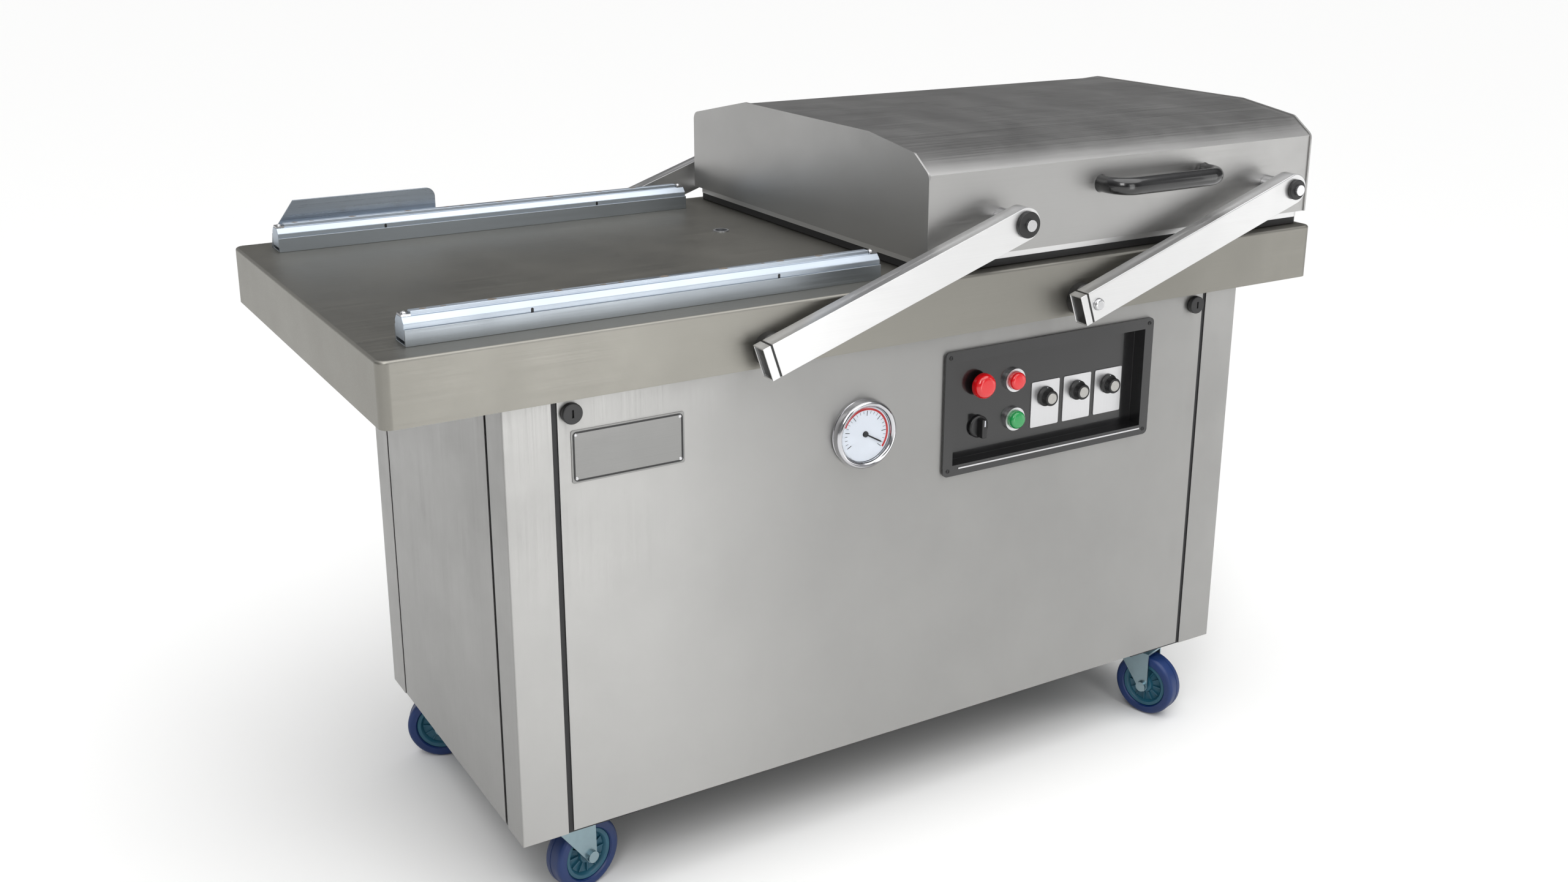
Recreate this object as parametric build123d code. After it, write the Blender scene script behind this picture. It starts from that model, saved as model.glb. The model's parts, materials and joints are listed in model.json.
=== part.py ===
from build123d import *
import math
import os

# A double-chamber vacuum packing machine. Millimetres, +X to the right, +Y to the back, +Z up.
# The origin is on the floor, under the middle of the table.

# Fits and small clearances
RUNNING = 0.05
GAP = 0.3
OPEN_PIVOT_CLEARANCE = 1.0
CUT = 1

# Table
TABLE_L = 1460
TABLE_D = 680
TABLE_TOP = 780
SKIRT_H = 80
TABLE_SHEET = 3
TABLE_CORNER_R = 14
TABLE_EDGE_R = 4
FRONT = -TABLE_D / 2
BACK = TABLE_D / 2
DECK_UNDER = TABLE_TOP - TABLE_SHEET
PORTS = [(-75, 80), (75, 80)]
PORT_R = 12
PORT_WALL = 3

# Cabinet under the table
CAB_HALF = 588
CAB_FRONT = -330
CAB_BACK = 190
CAB_BOTTOM = 120
MID_Y = (CAB_FRONT + CAB_BACK) / 2
PANEL_TOP = 697
PANEL_BOTTOM = 123
PANEL_T = 1.5
POST_FACE = 62
POST_SIDE = 53
POST_T = 2
POST_BEND_R = 1.5
SEAM = 7
VENT_COLUMNS = (-360, -240, 240, 360)
VENT_ROWS = 12
VENT_Z0 = 360
VENT_PITCH = 20
VENT_L = 90
VENT_H = 7
GLAND_AT = (-430, 215)
GLAND_BODY_R = 10
GLAND_BORE_R = 6.5
GLAND_HEX_R = 14
GLAND_HEX_L = 14
GLAND_DOME_R = 11
GLAND_DOME_L = 10
GLAND_THREAD_L = 12
GLAND_NUT_Y = 8
GLAND_NUT_L = 6

# Welded frame inside the cabinet
FRAME_INSET = 2
FRAME_X = CAB_HALF - FRAME_INSET
FRAME_Y0 = CAB_FRONT + FRAME_INSET
FRAME_Y1 = CAB_BACK - FRAME_INSET
ANGLE_T = 3
LEG_X = 70
LEG_Y = 64
RAIL = 30
LOW_RAIL = 40
GUSSET_T = 4
GUSSET_X = 160
GUSSET_Y = 120
PAN_Z = 150
PAN_T = 2
FLOOR = PAN_Z + PAN_T

# Panel locks
LOCK_X = 502
LOCK_Z = 682
LOCK_HEAD_R = 13
LOCK_HEAD_T = 8
LOCK_BODY_R = 9
LOCK_BODY_L = 10
LOCK_SLOT_W = 2.5
LOCK_SLOT_L = 10
LOCK_SLOT_DEPTH = 3
CAM_L = 30
CAM_W = 12
CAM_T = 2

# Lid and its swing: four equal arms, two at the front and two at the back
PIVOT_Z = 724
PIVOT_X = {"left": -236, "right": 268}
ARM_REACH = 371
ARM_RISE = 126
ARM_H = 45
ARM_T = 25
ARM_WALL = 2
ARM_IN = 355
ARM_OUT = ARM_IN + ARM_T
ARM_ANGLE = math.degrees(math.atan2(ARM_RISE, ARM_REACH))
ARM_LENGTH = math.hypot(ARM_REACH, ARM_RISE)
ARM_SOLID_END = 20
TUBE_TAIL = 12
BAND_T = 3
BAND_INSET = 0.6
COLLAR_T = 11
PLUG_DEPTH = 3
SHAFT_R = 10
SPIGOT_R = 8
SPIGOT_HEAD_R = 8
SPIGOT_HEAD_T = 5.5
BUSH_R = 15
BUSH_L = 25
BUSH_FLANGE_R = 23
BOLT_R = 6
BOLT_HEAD_R = 8
BOLT_HEAD_T = 5
BOLT_INSIDE = 12
SPACER_R = 13
NUT_R = 10
NUT_T = 8
WASHER_T = 6
WASHER_R = {"left": 18, "right": 15}

LID_X0 = 14
LID_X1 = 728
LID_BOTTOM = 800
LID_SHEET = 3
LID_FLANGE = 24
END_PLATE_PROUD = 2
END_PLATE_CORNER_R = 14
# Outline of the lid seen from its end, as (y, z), from the bottom front corner round to the back
LID_PROFILE = [(-323, 800), (-323, 916), (-288, 940.5), (-180, 955), (163, 955), (332, 920), (332, 800)]
LID_FRONT = LID_PROFILE[0][0]
LID_BACK = LID_PROFILE[-1][0]
GASKET_INSET = 6
GASKET_W = 14
GASKET_OUTER_R = 12
GASKET_INNER_R = 4

HANDLE_X = 410
HANDLE_Z = 880
HANDLE_HALF = 96
HANDLE_SLANT = 12
HANDLE_OUT = 54
HANDLE_R = 13
HANDLE_BEND_R = 18

# Balance springs behind the table's skirt
CRANK = 60
CRANK_HALF_W = 9
CRANK_RING_R = 18
CRANK_HALF_T = 6
SPRING_Y = 140
SPRING_ANCHOR_Z = 415
SPRING_PIN_R = 4
SPRING_PIN_L = 16
SPRING_OFFSET = 13
SPRING_R = 13
SPRING_WIRE_R = 2
SPRING_COIL_L = 170
SPRING_TURNS = 17

# Seal bars
BAR_X0 = 40
BAR_X1 = 684
BAR_Y = 279
BAR_W = 30
BAR_BOTTOM = 786
BAR_SHOULDER = 806
BAR_FLAT = 813
BAR_TOP = 818
BAR_BEVEL = 6
RIDGE_W = 10
RIDGE_INSET = 12
CHANNEL_W = 36
CHANNEL_WALL = 2
CHANNEL_SLACK = 0.4
CHANNEL_TOP = 800
BAG_W = 24
BAG_INSET = 10
BAR_LIFT = 10
PAD_BOTTOM = BAR_TOP + BAR_LIFT + 1
PAD_INSET = 4
PAD_W = 22
PAD_H = 12
HOLDER_W = 26
HOLDER_GRIP = 5
HOLDER_BACK = 8
BRACKET_W = 50
BRACKET_T = 3
BRACKET_H = 30
STOP_X0 = -684
STOP_X1 = -440
STOP_Y = 303
STOP_T = 2
STOP_TOP = 845
STOP_FOLD_Z = 800
STOP_CORNER_R = 14
STOP_FOOT_INSET = 8

# Controls
BOX_X = (44, 420)
BOX_Z = (494.5, 674.5)
BOX_CORNER_R = 8
RECESS_X = (60, 404)
RECESS_Z = (510, 658)
BOX_PROUD = 4
RECESS_DEPTH = 22
BOX_WALL = 2
CUTOUT_MARGIN = 3
PLATE_BACK = CAB_FRONT - BOX_PROUD + RECESS_DEPTH
ESTOP_AT = (118, 614)
ESTOP_R = 18
ESTOP_HEAD_T = 15
ESTOP_DEPTH = 22
ESTOP_DOME_R = 9
STOP_AT = (179, 611)
START_AT = (181, 553)
BUTTON_R = 13
BUTTON_DEPTH = 16
BUTTON_DOME_R = 5
RING_WALL = 4
RING_DEPTH = 6
SELECTOR_AT = (118, 552)
SELECTOR_R = 16
SELECTOR_BASE_T = 6
SELECTOR_DEPTH = 18
WING_HALF_L = 14
WING_HALF_W = 4
STEM_R = 8
STEM_L = 6
SPINDLE_R = 3
TIMER_X = (238, 297, 356)
TIMER_PLATE_Z = 566.5
TIMER_PLATE_T = 1.5
TIMER_PLATE_W = 51
TIMER_PLATE_H = 68
TIMER_KNOB_Z = 577
TIMER_SKIRT_R = 14.5
TIMER_SKIRT_T = 5
TIMER_CAP_R = 11
TIMER_CAP_DEPTH = 16
STRIP_DROP = 5
STRIP_INSET = 10
GAUGE_AT = (-88, 584)
GAUGE_R = 47
GAUGE_CASE_R = 34
GAUGE_CASE_DEPTH = 30
GAUGE_PROUD = 15
BEZEL_W = 9
BEZEL_R = 3
DIAL_PROUD = 8
GLASS_INSET = 3
GLASS_T = 2
NEEDLE_L = 28
NEEDLE_W = 2
NEEDLE_HUB_R = 4
NEEDLE_PIN_R = 2
NEEDLE_REST_ANGLE = 30
PLATE_X = (-503, -352)
PLATE_Z = (592, 659)
PLATE_T = 1
PLATE_CORNER_R = 3

# Works inside the cabinet
PUMP_X = -330
PUMP_Y = -70
PUMP_HALF = 90
PUMP_FOOT = 20
PUMP_H = 170
PUMP_FIN_PITCH = 20
PUMP_FIN_T = 4
PUMP_FIN_PROUD = 7
PUMP_FINS = 6
OIL_BOX_L = 100
OIL_BOX_HALF_W = 75
INLET_X = PUMP_X + 30
INLET_R = 24
INLET_TOP = FLOOR + 215
MOTOR_R = 78
MOTOR_L = 200
MOTOR_Z = FLOOR + 100
MOTOR_X0 = PUMP_X + PUMP_HALF
MOTOR_X1 = MOTOR_X0 + MOTOR_L
MOTOR_FINS = 24
MOTOR_FIN_T = 3
MOTOR_FIN_H = 7
MOTOR_FIN_INSET = 15
MOTOR_FOOT_L = 30
MOTOR_FOOT_HALF_W = 70
COWL_L = 60
COWL_X1 = MOTOR_X1 + COWL_L
COWL_R = MOTOR_R + 4
COWL_WALL = 2
COWL_VENTS = 10
VENT_R = 9
VENT_CIRCLE_R = 50
FAN_BORE_R = 9
FAN_HUB_R = 20
FAN_R = 66
FAN_X0 = MOTOR_X1 + 12
FAN_L = 30
FAN_BLADES = 8
BLADE_T = 2.5
STUB_L = 40
VALVE_Y = PORTS[0][1]
MANIFOLD_Z = 620
MANIFOLD_HALF_L = 100
MANIFOLD_HALF_W = 22
MANIFOLD_H = 44
RISER_WALL_Z = 60
RISER_PROUD = 1.5
HOSE_R = 14
HOSE_BEND_R = 50
HOSE_Z = 530
VALVE_X = (-70, 0, 70)
VALVE_HALF_W = 16
VALVE_L = 24
COIL_L = 40
COIL_R = 17
TRAY_X = (250, 510)
TRAY_Y = (-190, -30)
TRAY_H = 220
TRAY_T = 2
CORE_L = 100
CORE_W = 90
CORE_H = 90
CONTACTOR_X = (400, 455)
CONTACTOR_L = 45
CONTACTOR_D = 75
CONTACTOR_Z = (FLOOR + 110, FLOOR + 190)

# Casters, as (x, y, direction of the trailing wheel in degrees from +X)
WHEEL_R = 50
WHEEL_W = 32
TRAIL = 28
CASTERS = {
    "front_left": (-512, -278, 14),
    "front_right": (482, -278, -72),
    "rear_left": (-506, 138, 155),
    "rear_right": (506, 138, 65),
}
HUB_R = 36
HUB_DISH = (14, 31)
HUB_DISH_DEPTH = 8
TYRE_EDGE_R = 5
FORK_GAP = 2
FORK_T = 2.5
FORK_TOP = WHEEL_R * 2 + 4
FORK_TOP_T = 3
FORK_FRONT = -24
FORK_BACK = TRAIL + 8
FORK_RACE_R = 22
FORK_RACE_T = 3
AXLE_R = 5
AXLE_HEAD_R = 8
AXLE_HEAD_T = 5
PIN_R = 6
PIN_HEAD_R = 8
PIN_HEAD_T = 4
PLATE_HALF_L = 46
PLATE_HALF_W = 38
CASTER_PLATE_T = 3
CASTER_PLATE_R = 6
PLATE_RACE_R = 25


def block(x0, x1, y0, y1, z0, z1):
    return Pos((x0 + x1) / 2, (y0 + y1) / 2, (z0 + z1) / 2) * Box(x1 - x0, y1 - y0, z1 - z0)


def rod_x(x0, x1, y, z, r):
    return Pos((x0 + x1) / 2, y, z) * Rot(0, 90, 0) * Cylinder(r, x1 - x0)


def rod_y(y0, y1, x, z, r):
    return Pos(x, (y0 + y1) / 2, z) * Rot(90, 0, 0) * Cylinder(r, y1 - y0)


def rod_z(z0, z1, x, y, r):
    return Pos(x, y, (z0 + z1) / 2) * Cylinder(r, z1 - z0)


def tube_y(y0, y1, x, z, outer, inner):
    return rod_y(y0, y1, x, z, outer) - rod_y(y0, y1, x, z, inner)


def slab_x(points, x0, x1):
    """A plate with the outline points, as (y, z), from x0 to x1."""
    outline = make_face(Polyline(*[(0, y, z) for y, z in points], close=True))
    return Pos(x0, 0, 0) * extrude(outline, amount=x1 - x0, dir=(1, 0, 0))


def slab_y(points, y0, y1):
    """A plate with the outline points, as (x, z), from y0 to y1."""
    outline = make_face(Polyline(*[(x, 0, z) for x, z in points], close=True))
    return Pos(0, y0, 0) * extrude(outline, amount=y1 - y0, dir=(0, 1, 0))


def upright_edges(shape):
    return shape.edges().filter_by(Axis.Z)


def round_plate_y(x0, x1, z0, z1, y0, y1, r):
    """A plate that faces the front, with rounded corners."""
    plate = block(x0, x1, y0, y1, z0, z1)
    return fillet(plate.edges().filter_by(Axis.Y), r)


def inset(points, t):
    """The convex outline points, moved t inwards. A negative t moves it outwards."""
    moved = []
    count = len(points)
    middle = (sum(p[0] for p in points) / count, sum(p[1] for p in points) / count)
    lines = []
    for i in range(count):
        (ax, ay), (bx, by) = points[i], points[(i + 1) % count]
        length = math.hypot(bx - ax, by - ay)
        nx, ny = (ay - by) / length, (bx - ax) / length
        if (middle[0] - ax) * nx + (middle[1] - ay) * ny < 0:
            nx, ny = -nx, -ny
        lines.append((nx, ny, nx * ax + ny * ay + t))
    for i in range(count):
        a1, b1, c1 = lines[i - 1]
        a2, b2, c2 = lines[i]
        det = a1 * b2 - a2 * b1
        moved.append(((c1 * b2 - c2 * b1) / det, (a1 * c2 - a2 * c1) / det))
    return moved


def mirror_y(shape):
    return mirror(shape, about=Plane.XZ)


def mirror_x(shape):
    return mirror(shape, about=Plane.YZ)


def save(name, shapes):
    """Writes one node: a single shape or a list of separate solids."""
    group = list(shapes) if isinstance(shapes, (list, tuple)) else [shapes]
    solids = [s for shape in group for s in shape.solids()]
    export_step(Compound(children=solids) if len(solids) > 1 else solids[0], f"parts/{name}.step")


# Table and cabinet


def make_deck():
    bottom = TABLE_TOP - SKIRT_H
    outer = block(-TABLE_L / 2, TABLE_L / 2, FRONT, BACK, bottom, TABLE_TOP)
    outer = fillet(upright_edges(outer), TABLE_CORNER_R)
    outer = fillet(outer.faces().sort_by(Axis.Z)[-1].edges(), TABLE_EDGE_R)
    t = TABLE_SHEET
    inner = block(-TABLE_L / 2 + t, TABLE_L / 2 - t, FRONT + t, BACK - t, bottom, DECK_UNDER)
    inner = fillet(upright_edges(inner), TABLE_CORNER_R - t)
    deck = outer - inner
    for x in PIVOT_X.values():
        deck -= rod_y(FRONT - CUT, BACK + CUT, x, PIVOT_Z, BUSH_R)
    for x, y in PORTS:
        deck -= rod_z(DECK_UNDER - CUT, TABLE_TOP + CUT, x, y, PORT_R)
    return deck


def make_corner_post(side, end):
    """An L-shaped corner cover. side is -1 at the left, end is -1 at the front."""
    face_y = CAB_FRONT if end < 0 else CAB_BACK
    x_out, x_in = side * CAB_HALF, side * (CAB_HALF - POST_FACE)
    y_in = face_y - end * POST_SIDE
    t = POST_T
    face = block(*sorted((x_out, x_in)), *sorted((face_y, face_y - end * t)), CAB_BOTTOM, DECK_UNDER)
    flank = block(*sorted((x_out, x_out - side * t)), *sorted((face_y, y_in)), CAB_BOTTOM, DECK_UNDER)
    post = face + flank
    corner = upright_edges(post).sort_by(lambda e: -abs(e.center().X) - abs(e.center().Y - MID_Y))
    return fillet(corner[0], POST_BEND_R)


def make_flat_panel(face_y, end):
    half = CAB_HALF - POST_FACE - SEAM
    return block(-half, half, *sorted((face_y, face_y - end * PANEL_T)), PANEL_BOTTOM, PANEL_TOP)


def make_front_panel():
    """The front panel, with openings for the control box, the gauge and the two locks."""
    m = CUTOUT_MARGIN
    y0, y1 = CAB_FRONT - CUT, CAB_FRONT + PANEL_T + CUT
    panel = make_flat_panel(CAB_FRONT, -1)
    panel -= block(RECESS_X[0] - m, RECESS_X[1] + m, y0, y1, RECESS_Z[0] - m, RECESS_Z[1] + m)
    panel -= rod_y(y0, y1, *GAUGE_AT, GAUGE_CASE_R + CUT)
    for side in (-1, 1):
        panel -= rod_y(y0, y1, side * LOCK_X, LOCK_Z, LOCK_BODY_R + RUNNING)
    return panel


def make_rear_panel():
    """The rear panel, with four columns of louvre slots and the hole for the cable gland."""
    panel = make_flat_panel(CAB_BACK, 1)
    y0, y1 = CAB_BACK - PANEL_T - CUT, CAB_BACK + CUT
    for x in VENT_COLUMNS:
        for row in range(VENT_ROWS):
            z = VENT_Z0 + row * VENT_PITCH
            slot = block(x - VENT_L / 2, x + VENT_L / 2, y0, y1, z, z + VENT_H)
            panel -= fillet(slot.edges().filter_by(Axis.Y), VENT_H * 0.47)
    panel -= rod_y(y0, y1, *GLAND_AT, GLAND_BODY_R)
    return panel


def make_side_panels():
    y0 = CAB_FRONT + POST_SIDE + SEAM
    y1 = CAB_BACK - POST_SIDE - SEAM
    left = block(-CAB_HALF, -CAB_HALF + PANEL_T, y0, y1, PANEL_BOTTOM, PANEL_TOP)
    return left, mirror_x(left)


def ring_of_rails(z0, z1, width):
    outer = block(-FRAME_X, FRAME_X, FRAME_Y0, FRAME_Y1, z0, z1)
    inner = block(-FRAME_X + width, FRAME_X - width, FRAME_Y0 + width, FRAME_Y1 - width, z0, z1)
    return outer - inner


def make_base_frame():
    """Two rings of rails, four angle legs, foot gussets, and the bars that carry the springs."""
    frame = ring_of_rails(CAB_BOTTOM + GUSSET_T, PAN_Z, LOW_RAIL)
    frame += ring_of_rails(DECK_UNDER - RAIL, DECK_UNDER, RAIL)
    for side in (-1, 1):
        for y, end in ((FRAME_Y0, -1), (FRAME_Y1, 1)):
            x = side * FRAME_X
            leg_x = block(*sorted((x, x - side * LEG_X)), *sorted((y, y - end * ANGLE_T)), PAN_Z, DECK_UNDER)
            leg_y = block(*sorted((x, x - side * ANGLE_T)), *sorted((y, y - end * LEG_Y)), PAN_Z, DECK_UNDER)
            gusset_x, gusset_y = sorted((x, x - side * GUSSET_X)), sorted((y, y - end * GUSSET_Y))
            gusset = block(*gusset_x, *gusset_y, CAB_BOTTOM, CAB_BOTTOM + GUSSET_T)
            frame += leg_x + leg_y + gusset
    half = RAIL / 2
    anchor = (SPRING_ANCHOR_Z - half, SPRING_ANCHOR_Z + half)
    frame += block(-FRAME_X, FRAME_X, FRAME_Y1 - RAIL, FRAME_Y1, *anchor)
    frame += block(-half, half, FRAME_Y0 + RAIL, FRAME_Y1 - RAIL, DECK_UNDER - RAIL, DECK_UNDER)
    for x in PIVOT_X.values():
        frame += rod_y(SPRING_Y - SPRING_PIN_L / 2, FRAME_Y1 - RAIL, x, SPRING_ANCHOR_Z, SPRING_PIN_R)
    return frame


def make_floor_pan():
    edge = ANGLE_T + 1
    return block(-FRAME_X + edge, FRAME_X - edge, FRAME_Y0 + edge, FRAME_Y1 - edge, PAN_Z, FLOOR)


def make_lock(x):
    """A quarter-turn panel lock. Its cam reaches behind the frame's angle."""
    side = 1 if x > 0 else -1
    face = CAB_FRONT - LOCK_HEAD_T
    inner = CAB_FRONT + LOCK_BODY_L
    head = fillet(rod_y(face, CAB_FRONT - GAP, x, LOCK_Z, LOCK_HEAD_R).edges(), 1.5)
    w, half = LOCK_SLOT_W / 2, LOCK_SLOT_L / 2
    slot = block(x - w, x + w, face - CUT, face + LOCK_SLOT_DEPTH, LOCK_Z - half, LOCK_Z + half)
    body = rod_y(CAB_FRONT - CUT, inner, x, LOCK_Z, LOCK_BODY_R)
    cam = block(*sorted((x, x + side * CAM_L)), inner - CAM_T, inner, LOCK_Z - CAM_W / 2, LOCK_Z + CAM_W / 2)
    return head + body + cam - slot


# Controls


def make_control_box():
    """The box's rim on the panel and its recessed tray, drilled for every control."""
    w = BOX_WALL
    back = PLATE_BACK + w
    rim = round_plate_y(*BOX_X, *BOX_Z, CAB_FRONT - BOX_PROUD, CAB_FRONT, BOX_CORNER_R)
    tray = block(RECESS_X[0] - w, RECESS_X[1] + w, CAB_FRONT, back, RECESS_Z[0] - w, RECESS_Z[1] + w)
    box = rim + tray - block(*RECESS_X, CAB_FRONT - BOX_PROUD - CUT, PLATE_BACK, *RECESS_Z)
    holes = [
        (ESTOP_AT, STEM_R + GAP), (STOP_AT, BUTTON_R + GAP), (START_AT, BUTTON_R + GAP),
        (SELECTOR_AT, STEM_R + RUNNING),
    ]
    holes += [((x, TIMER_KNOB_Z), SPINDLE_R + RUNNING) for x in TIMER_X]
    for at, r in holes:
        box -= rod_y(PLATE_BACK - CUT, back + CUT, *at, r)
    return box


def make_control_trim():
    """Scale plates behind the timer knobs, rings round the two push buttons and a bright strip."""
    pieces = []
    w, h = TIMER_PLATE_W / 2, TIMER_PLATE_H / 2
    face = PLATE_BACK - TIMER_PLATE_T
    for x in TIMER_X:
        plate = round_plate_y(x - w, x + w, TIMER_PLATE_Z - h, TIMER_PLATE_Z + h, face, PLATE_BACK, 2)
        pieces.append(plate - rod_y(face - CUT, PLATE_BACK + CUT, x, TIMER_KNOB_Z, SPINDLE_R + RUNNING))
    for at in (STOP_AT, START_AT):
        pieces.append(tube_y(PLATE_BACK - RING_DEPTH, PLATE_BACK, *at, BUTTON_R + RING_WALL, BUTTON_R + GAP))
    z, y = RECESS_Z[0] - STRIP_DROP, CAB_FRONT - BOX_PROUD
    pieces.append(block(RECESS_X[0] + STRIP_INSET, RECESS_X[1], y - 1, y, z - 1, z + 1))
    return pieces


def make_push_button(at):
    cap = rod_y(PLATE_BACK - BUTTON_DEPTH, PLATE_BACK + 1, *at, BUTTON_R)
    return fillet(cap.edges().sort_by(Axis.Y)[0], BUTTON_DOME_R)


def make_estop():
    face = PLATE_BACK - ESTOP_DEPTH
    head = rod_y(face, face + ESTOP_HEAD_T, *ESTOP_AT, ESTOP_R)
    head = fillet(head.edges().sort_by(Axis.Y)[0], ESTOP_DOME_R)
    return head + rod_y(face + ESTOP_HEAD_T - CUT, PLATE_BACK + STEM_L + 2, *ESTOP_AT, STEM_R)


def make_selector():
    x, z = SELECTOR_AT
    knob = rod_y(PLATE_BACK - SELECTOR_BASE_T, PLATE_BACK - GAP, x, z, SELECTOR_R)
    wing = round_plate_y(
        x - WING_HALF_L, x + WING_HALF_L, z - WING_HALF_W, z + WING_HALF_W,
        PLATE_BACK - SELECTOR_DEPTH, PLATE_BACK - SELECTOR_BASE_T + CUT, 3,
    )
    return knob + wing + rod_y(PLATE_BACK - CUT, PLATE_BACK + STEM_L, x, z, STEM_R)


def make_timer_knob(x):
    face = PLATE_BACK - TIMER_PLATE_T - GAP
    skirt = rod_y(face - TIMER_SKIRT_T, face, x, TIMER_KNOB_Z, TIMER_SKIRT_R)
    cap = rod_y(face - TIMER_CAP_DEPTH, face - TIMER_SKIRT_T, x, TIMER_KNOB_Z, TIMER_CAP_R)
    cap = fillet(cap.edges().sort_by(Axis.Y)[0], 1)
    return skirt + cap + rod_y(face, PLATE_BACK + STEM_L, x, TIMER_KNOB_Z, SPINDLE_R)


def make_gauge():
    """The gauge's case with its dial, its glass, and its needle."""
    x, z = GAUGE_AT
    front = CAB_FRONT - GAUGE_PROUD
    dial = CAB_FRONT - DIAL_PROUD
    bezel = tube_y(front, CAB_FRONT, x, z, GAUGE_R, GAUGE_R - BEZEL_W)
    bezel = fillet(bezel.edges().filter_by(GeomType.CIRCLE).sort_by(Axis.Y)[:2], BEZEL_R)
    back = rod_y(dial, CAB_FRONT + GAUGE_CASE_DEPTH, x, z, GAUGE_CASE_R)
    back += rod_y(dial, CAB_FRONT, x, z, GAUGE_R - BEZEL_W + 1)
    case = bezel + back - rod_y(dial - CUT, CAB_FRONT, x, z, NEEDLE_PIN_R + RUNNING)
    glass = rod_y(front + GLASS_INSET, front + GLASS_INSET + GLASS_T, x, z, GAUGE_R - BEZEL_W)
    needle_front = dial - GAP - 1
    hub = rod_y(needle_front, dial - GAP, x, z, NEEDLE_HUB_R)
    half = NEEDLE_W / 2
    pointer = block(-half, NEEDLE_L, needle_front, dial - GAP - 0.2, -half, half)
    pointer = Pos(x, 0, z) * Rot(0, NEEDLE_REST_ANGLE, 0) * pointer
    needle = hub + pointer + rod_y(dial - GAP - 0.2, CAB_FRONT - 1, x, z, NEEDLE_PIN_R)
    return case, glass, needle


def make_nameplate():
    return round_plate_y(*PLATE_X, *PLATE_Z, CAB_FRONT - PLATE_T, CAB_FRONT, PLATE_CORNER_R)


# Lid and arms


def make_lid():
    """The folded lid sheet with its inward flange, and the two end plates that stand proud of it."""
    t = LID_SHEET
    x0, x1 = LID_X0 + t, LID_X1 - t
    hollow = inset(LID_PROFILE, t)
    below = LID_BOTTOM - CUT
    hollow[0] = (hollow[0][0], below)
    hollow[-1] = (hollow[-1][0], below)
    sheet = slab_x(LID_PROFILE, x0, x1) - slab_x(hollow, x0, x1)
    w = LID_FLANGE
    ring = block(x0, x1, LID_FRONT + t, LID_BACK - t, LID_BOTTOM, LID_BOTTOM + t)
    ring -= block(LID_X0 + w, LID_X1 - w, LID_FRONT + w, LID_BACK - w, LID_BOTTOM, LID_BOTTOM + t)
    sheet += ring
    for pivot in PIVOT_X.values():
        sheet -= rod_y(LID_FRONT - CUT, LID_BACK + CUT, pivot + ARM_REACH, PIVOT_Z + ARM_RISE, BOLT_R)
    outline = inset(LID_PROFILE, -END_PLATE_PROUD)
    outline[0] = (outline[0][0], LID_BOTTOM)
    outline[-1] = (outline[-1][0], LID_BOTTOM)
    plate = slab_x(outline, LID_X0, x0)
    upper_corners = plate.edges().filter_by(Axis.X).sort_by(Axis.Z)[2:]
    plate = fillet(upper_corners, END_PLATE_CORNER_R)
    return sheet, plate, Pos(x1 - LID_X0, 0, 0) * plate


def make_gasket():
    i, o = GASKET_INSET, GASKET_INSET + GASKET_W
    low = TABLE_TOP + GAP
    ring = block(LID_X0 + i, LID_X1 - i, LID_FRONT + i, LID_BACK - i, low, LID_BOTTOM)
    hole = block(LID_X0 + o, LID_X1 - o, LID_FRONT + o, LID_BACK - o, low, LID_BOTTOM)
    return fillet(upright_edges(ring), GASKET_OUTER_R) - fillet(upright_edges(hole), GASKET_INNER_R)


def make_handle():
    """A round bow, cut flat where its feet meet the lid."""
    wall = LID_FRONT
    grip_y = wall - HANDLE_OUT + HANDLE_R
    inner = HANDLE_HALF - HANDLE_SLANT
    path = FilletPolyline(
        (HANDLE_X - HANDLE_HALF, wall, HANDLE_Z), (HANDLE_X - inner, grip_y, HANDLE_Z),
        (HANDLE_X + inner, grip_y, HANDLE_Z), (HANDLE_X + HANDLE_HALF, wall, HANDLE_Z), radius=HANDLE_BEND_R,
    )
    start = Plane(origin=path @ 0, z_dir=path % 0)
    bow = sweep(start * Circle(HANDLE_R), path=path)
    reach = 2 * HANDLE_HALF
    before_wall = Pos(HANDLE_X, wall - reach / 2, HANDLE_Z) * Box(2 * reach, reach, 2 * reach)
    return bow & before_wall


def make_pads():
    """Silicone strips that the seal bars press against, and the holders that hang them in the lid."""
    strips, holders = [], []
    x0, x1 = BAR_X0 + PAD_INSET, BAR_X1 - PAD_INSET
    top = PAD_BOTTOM + PAD_H
    roof = top + HOLDER_BACK
    for end in (-1, 1):
        y = end * BAR_Y
        wall = LID_FRONT + LID_SHEET if end < 0 else LID_BACK - LID_SHEET
        strips.append(block(x0, x1, y - PAD_W / 2, y + PAD_W / 2, PAD_BOTTOM, top))
        holder = block(x0, x1, y - HOLDER_W / 2, y + HOLDER_W / 2, top - HOLDER_GRIP, roof)
        holder -= block(x0, x1, y - PAD_W / 2, y + PAD_W / 2, top - HOLDER_GRIP, top)
        for x in (x0 + 170, (x0 + x1) / 2, x1 - 150):
            left, right = x - BRACKET_W / 2, x + BRACKET_W / 2
            holder += block(left, right, *sorted((y, wall)), roof, roof + BRACKET_T)
            holder += block(left, right, *sorted((wall, wall - end * BRACKET_T)), roof, roof + BRACKET_H)
        holders.append(holder)
    return strips, holders


def place_on_arm(shape, side):
    """Turns a shape made along +X from the origin into an arm's place, at its lower pivot."""
    return Pos(PIVOT_X[side], 0, PIVOT_Z) * Rot(0, -ARM_ANGLE, 0) * shape


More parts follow.
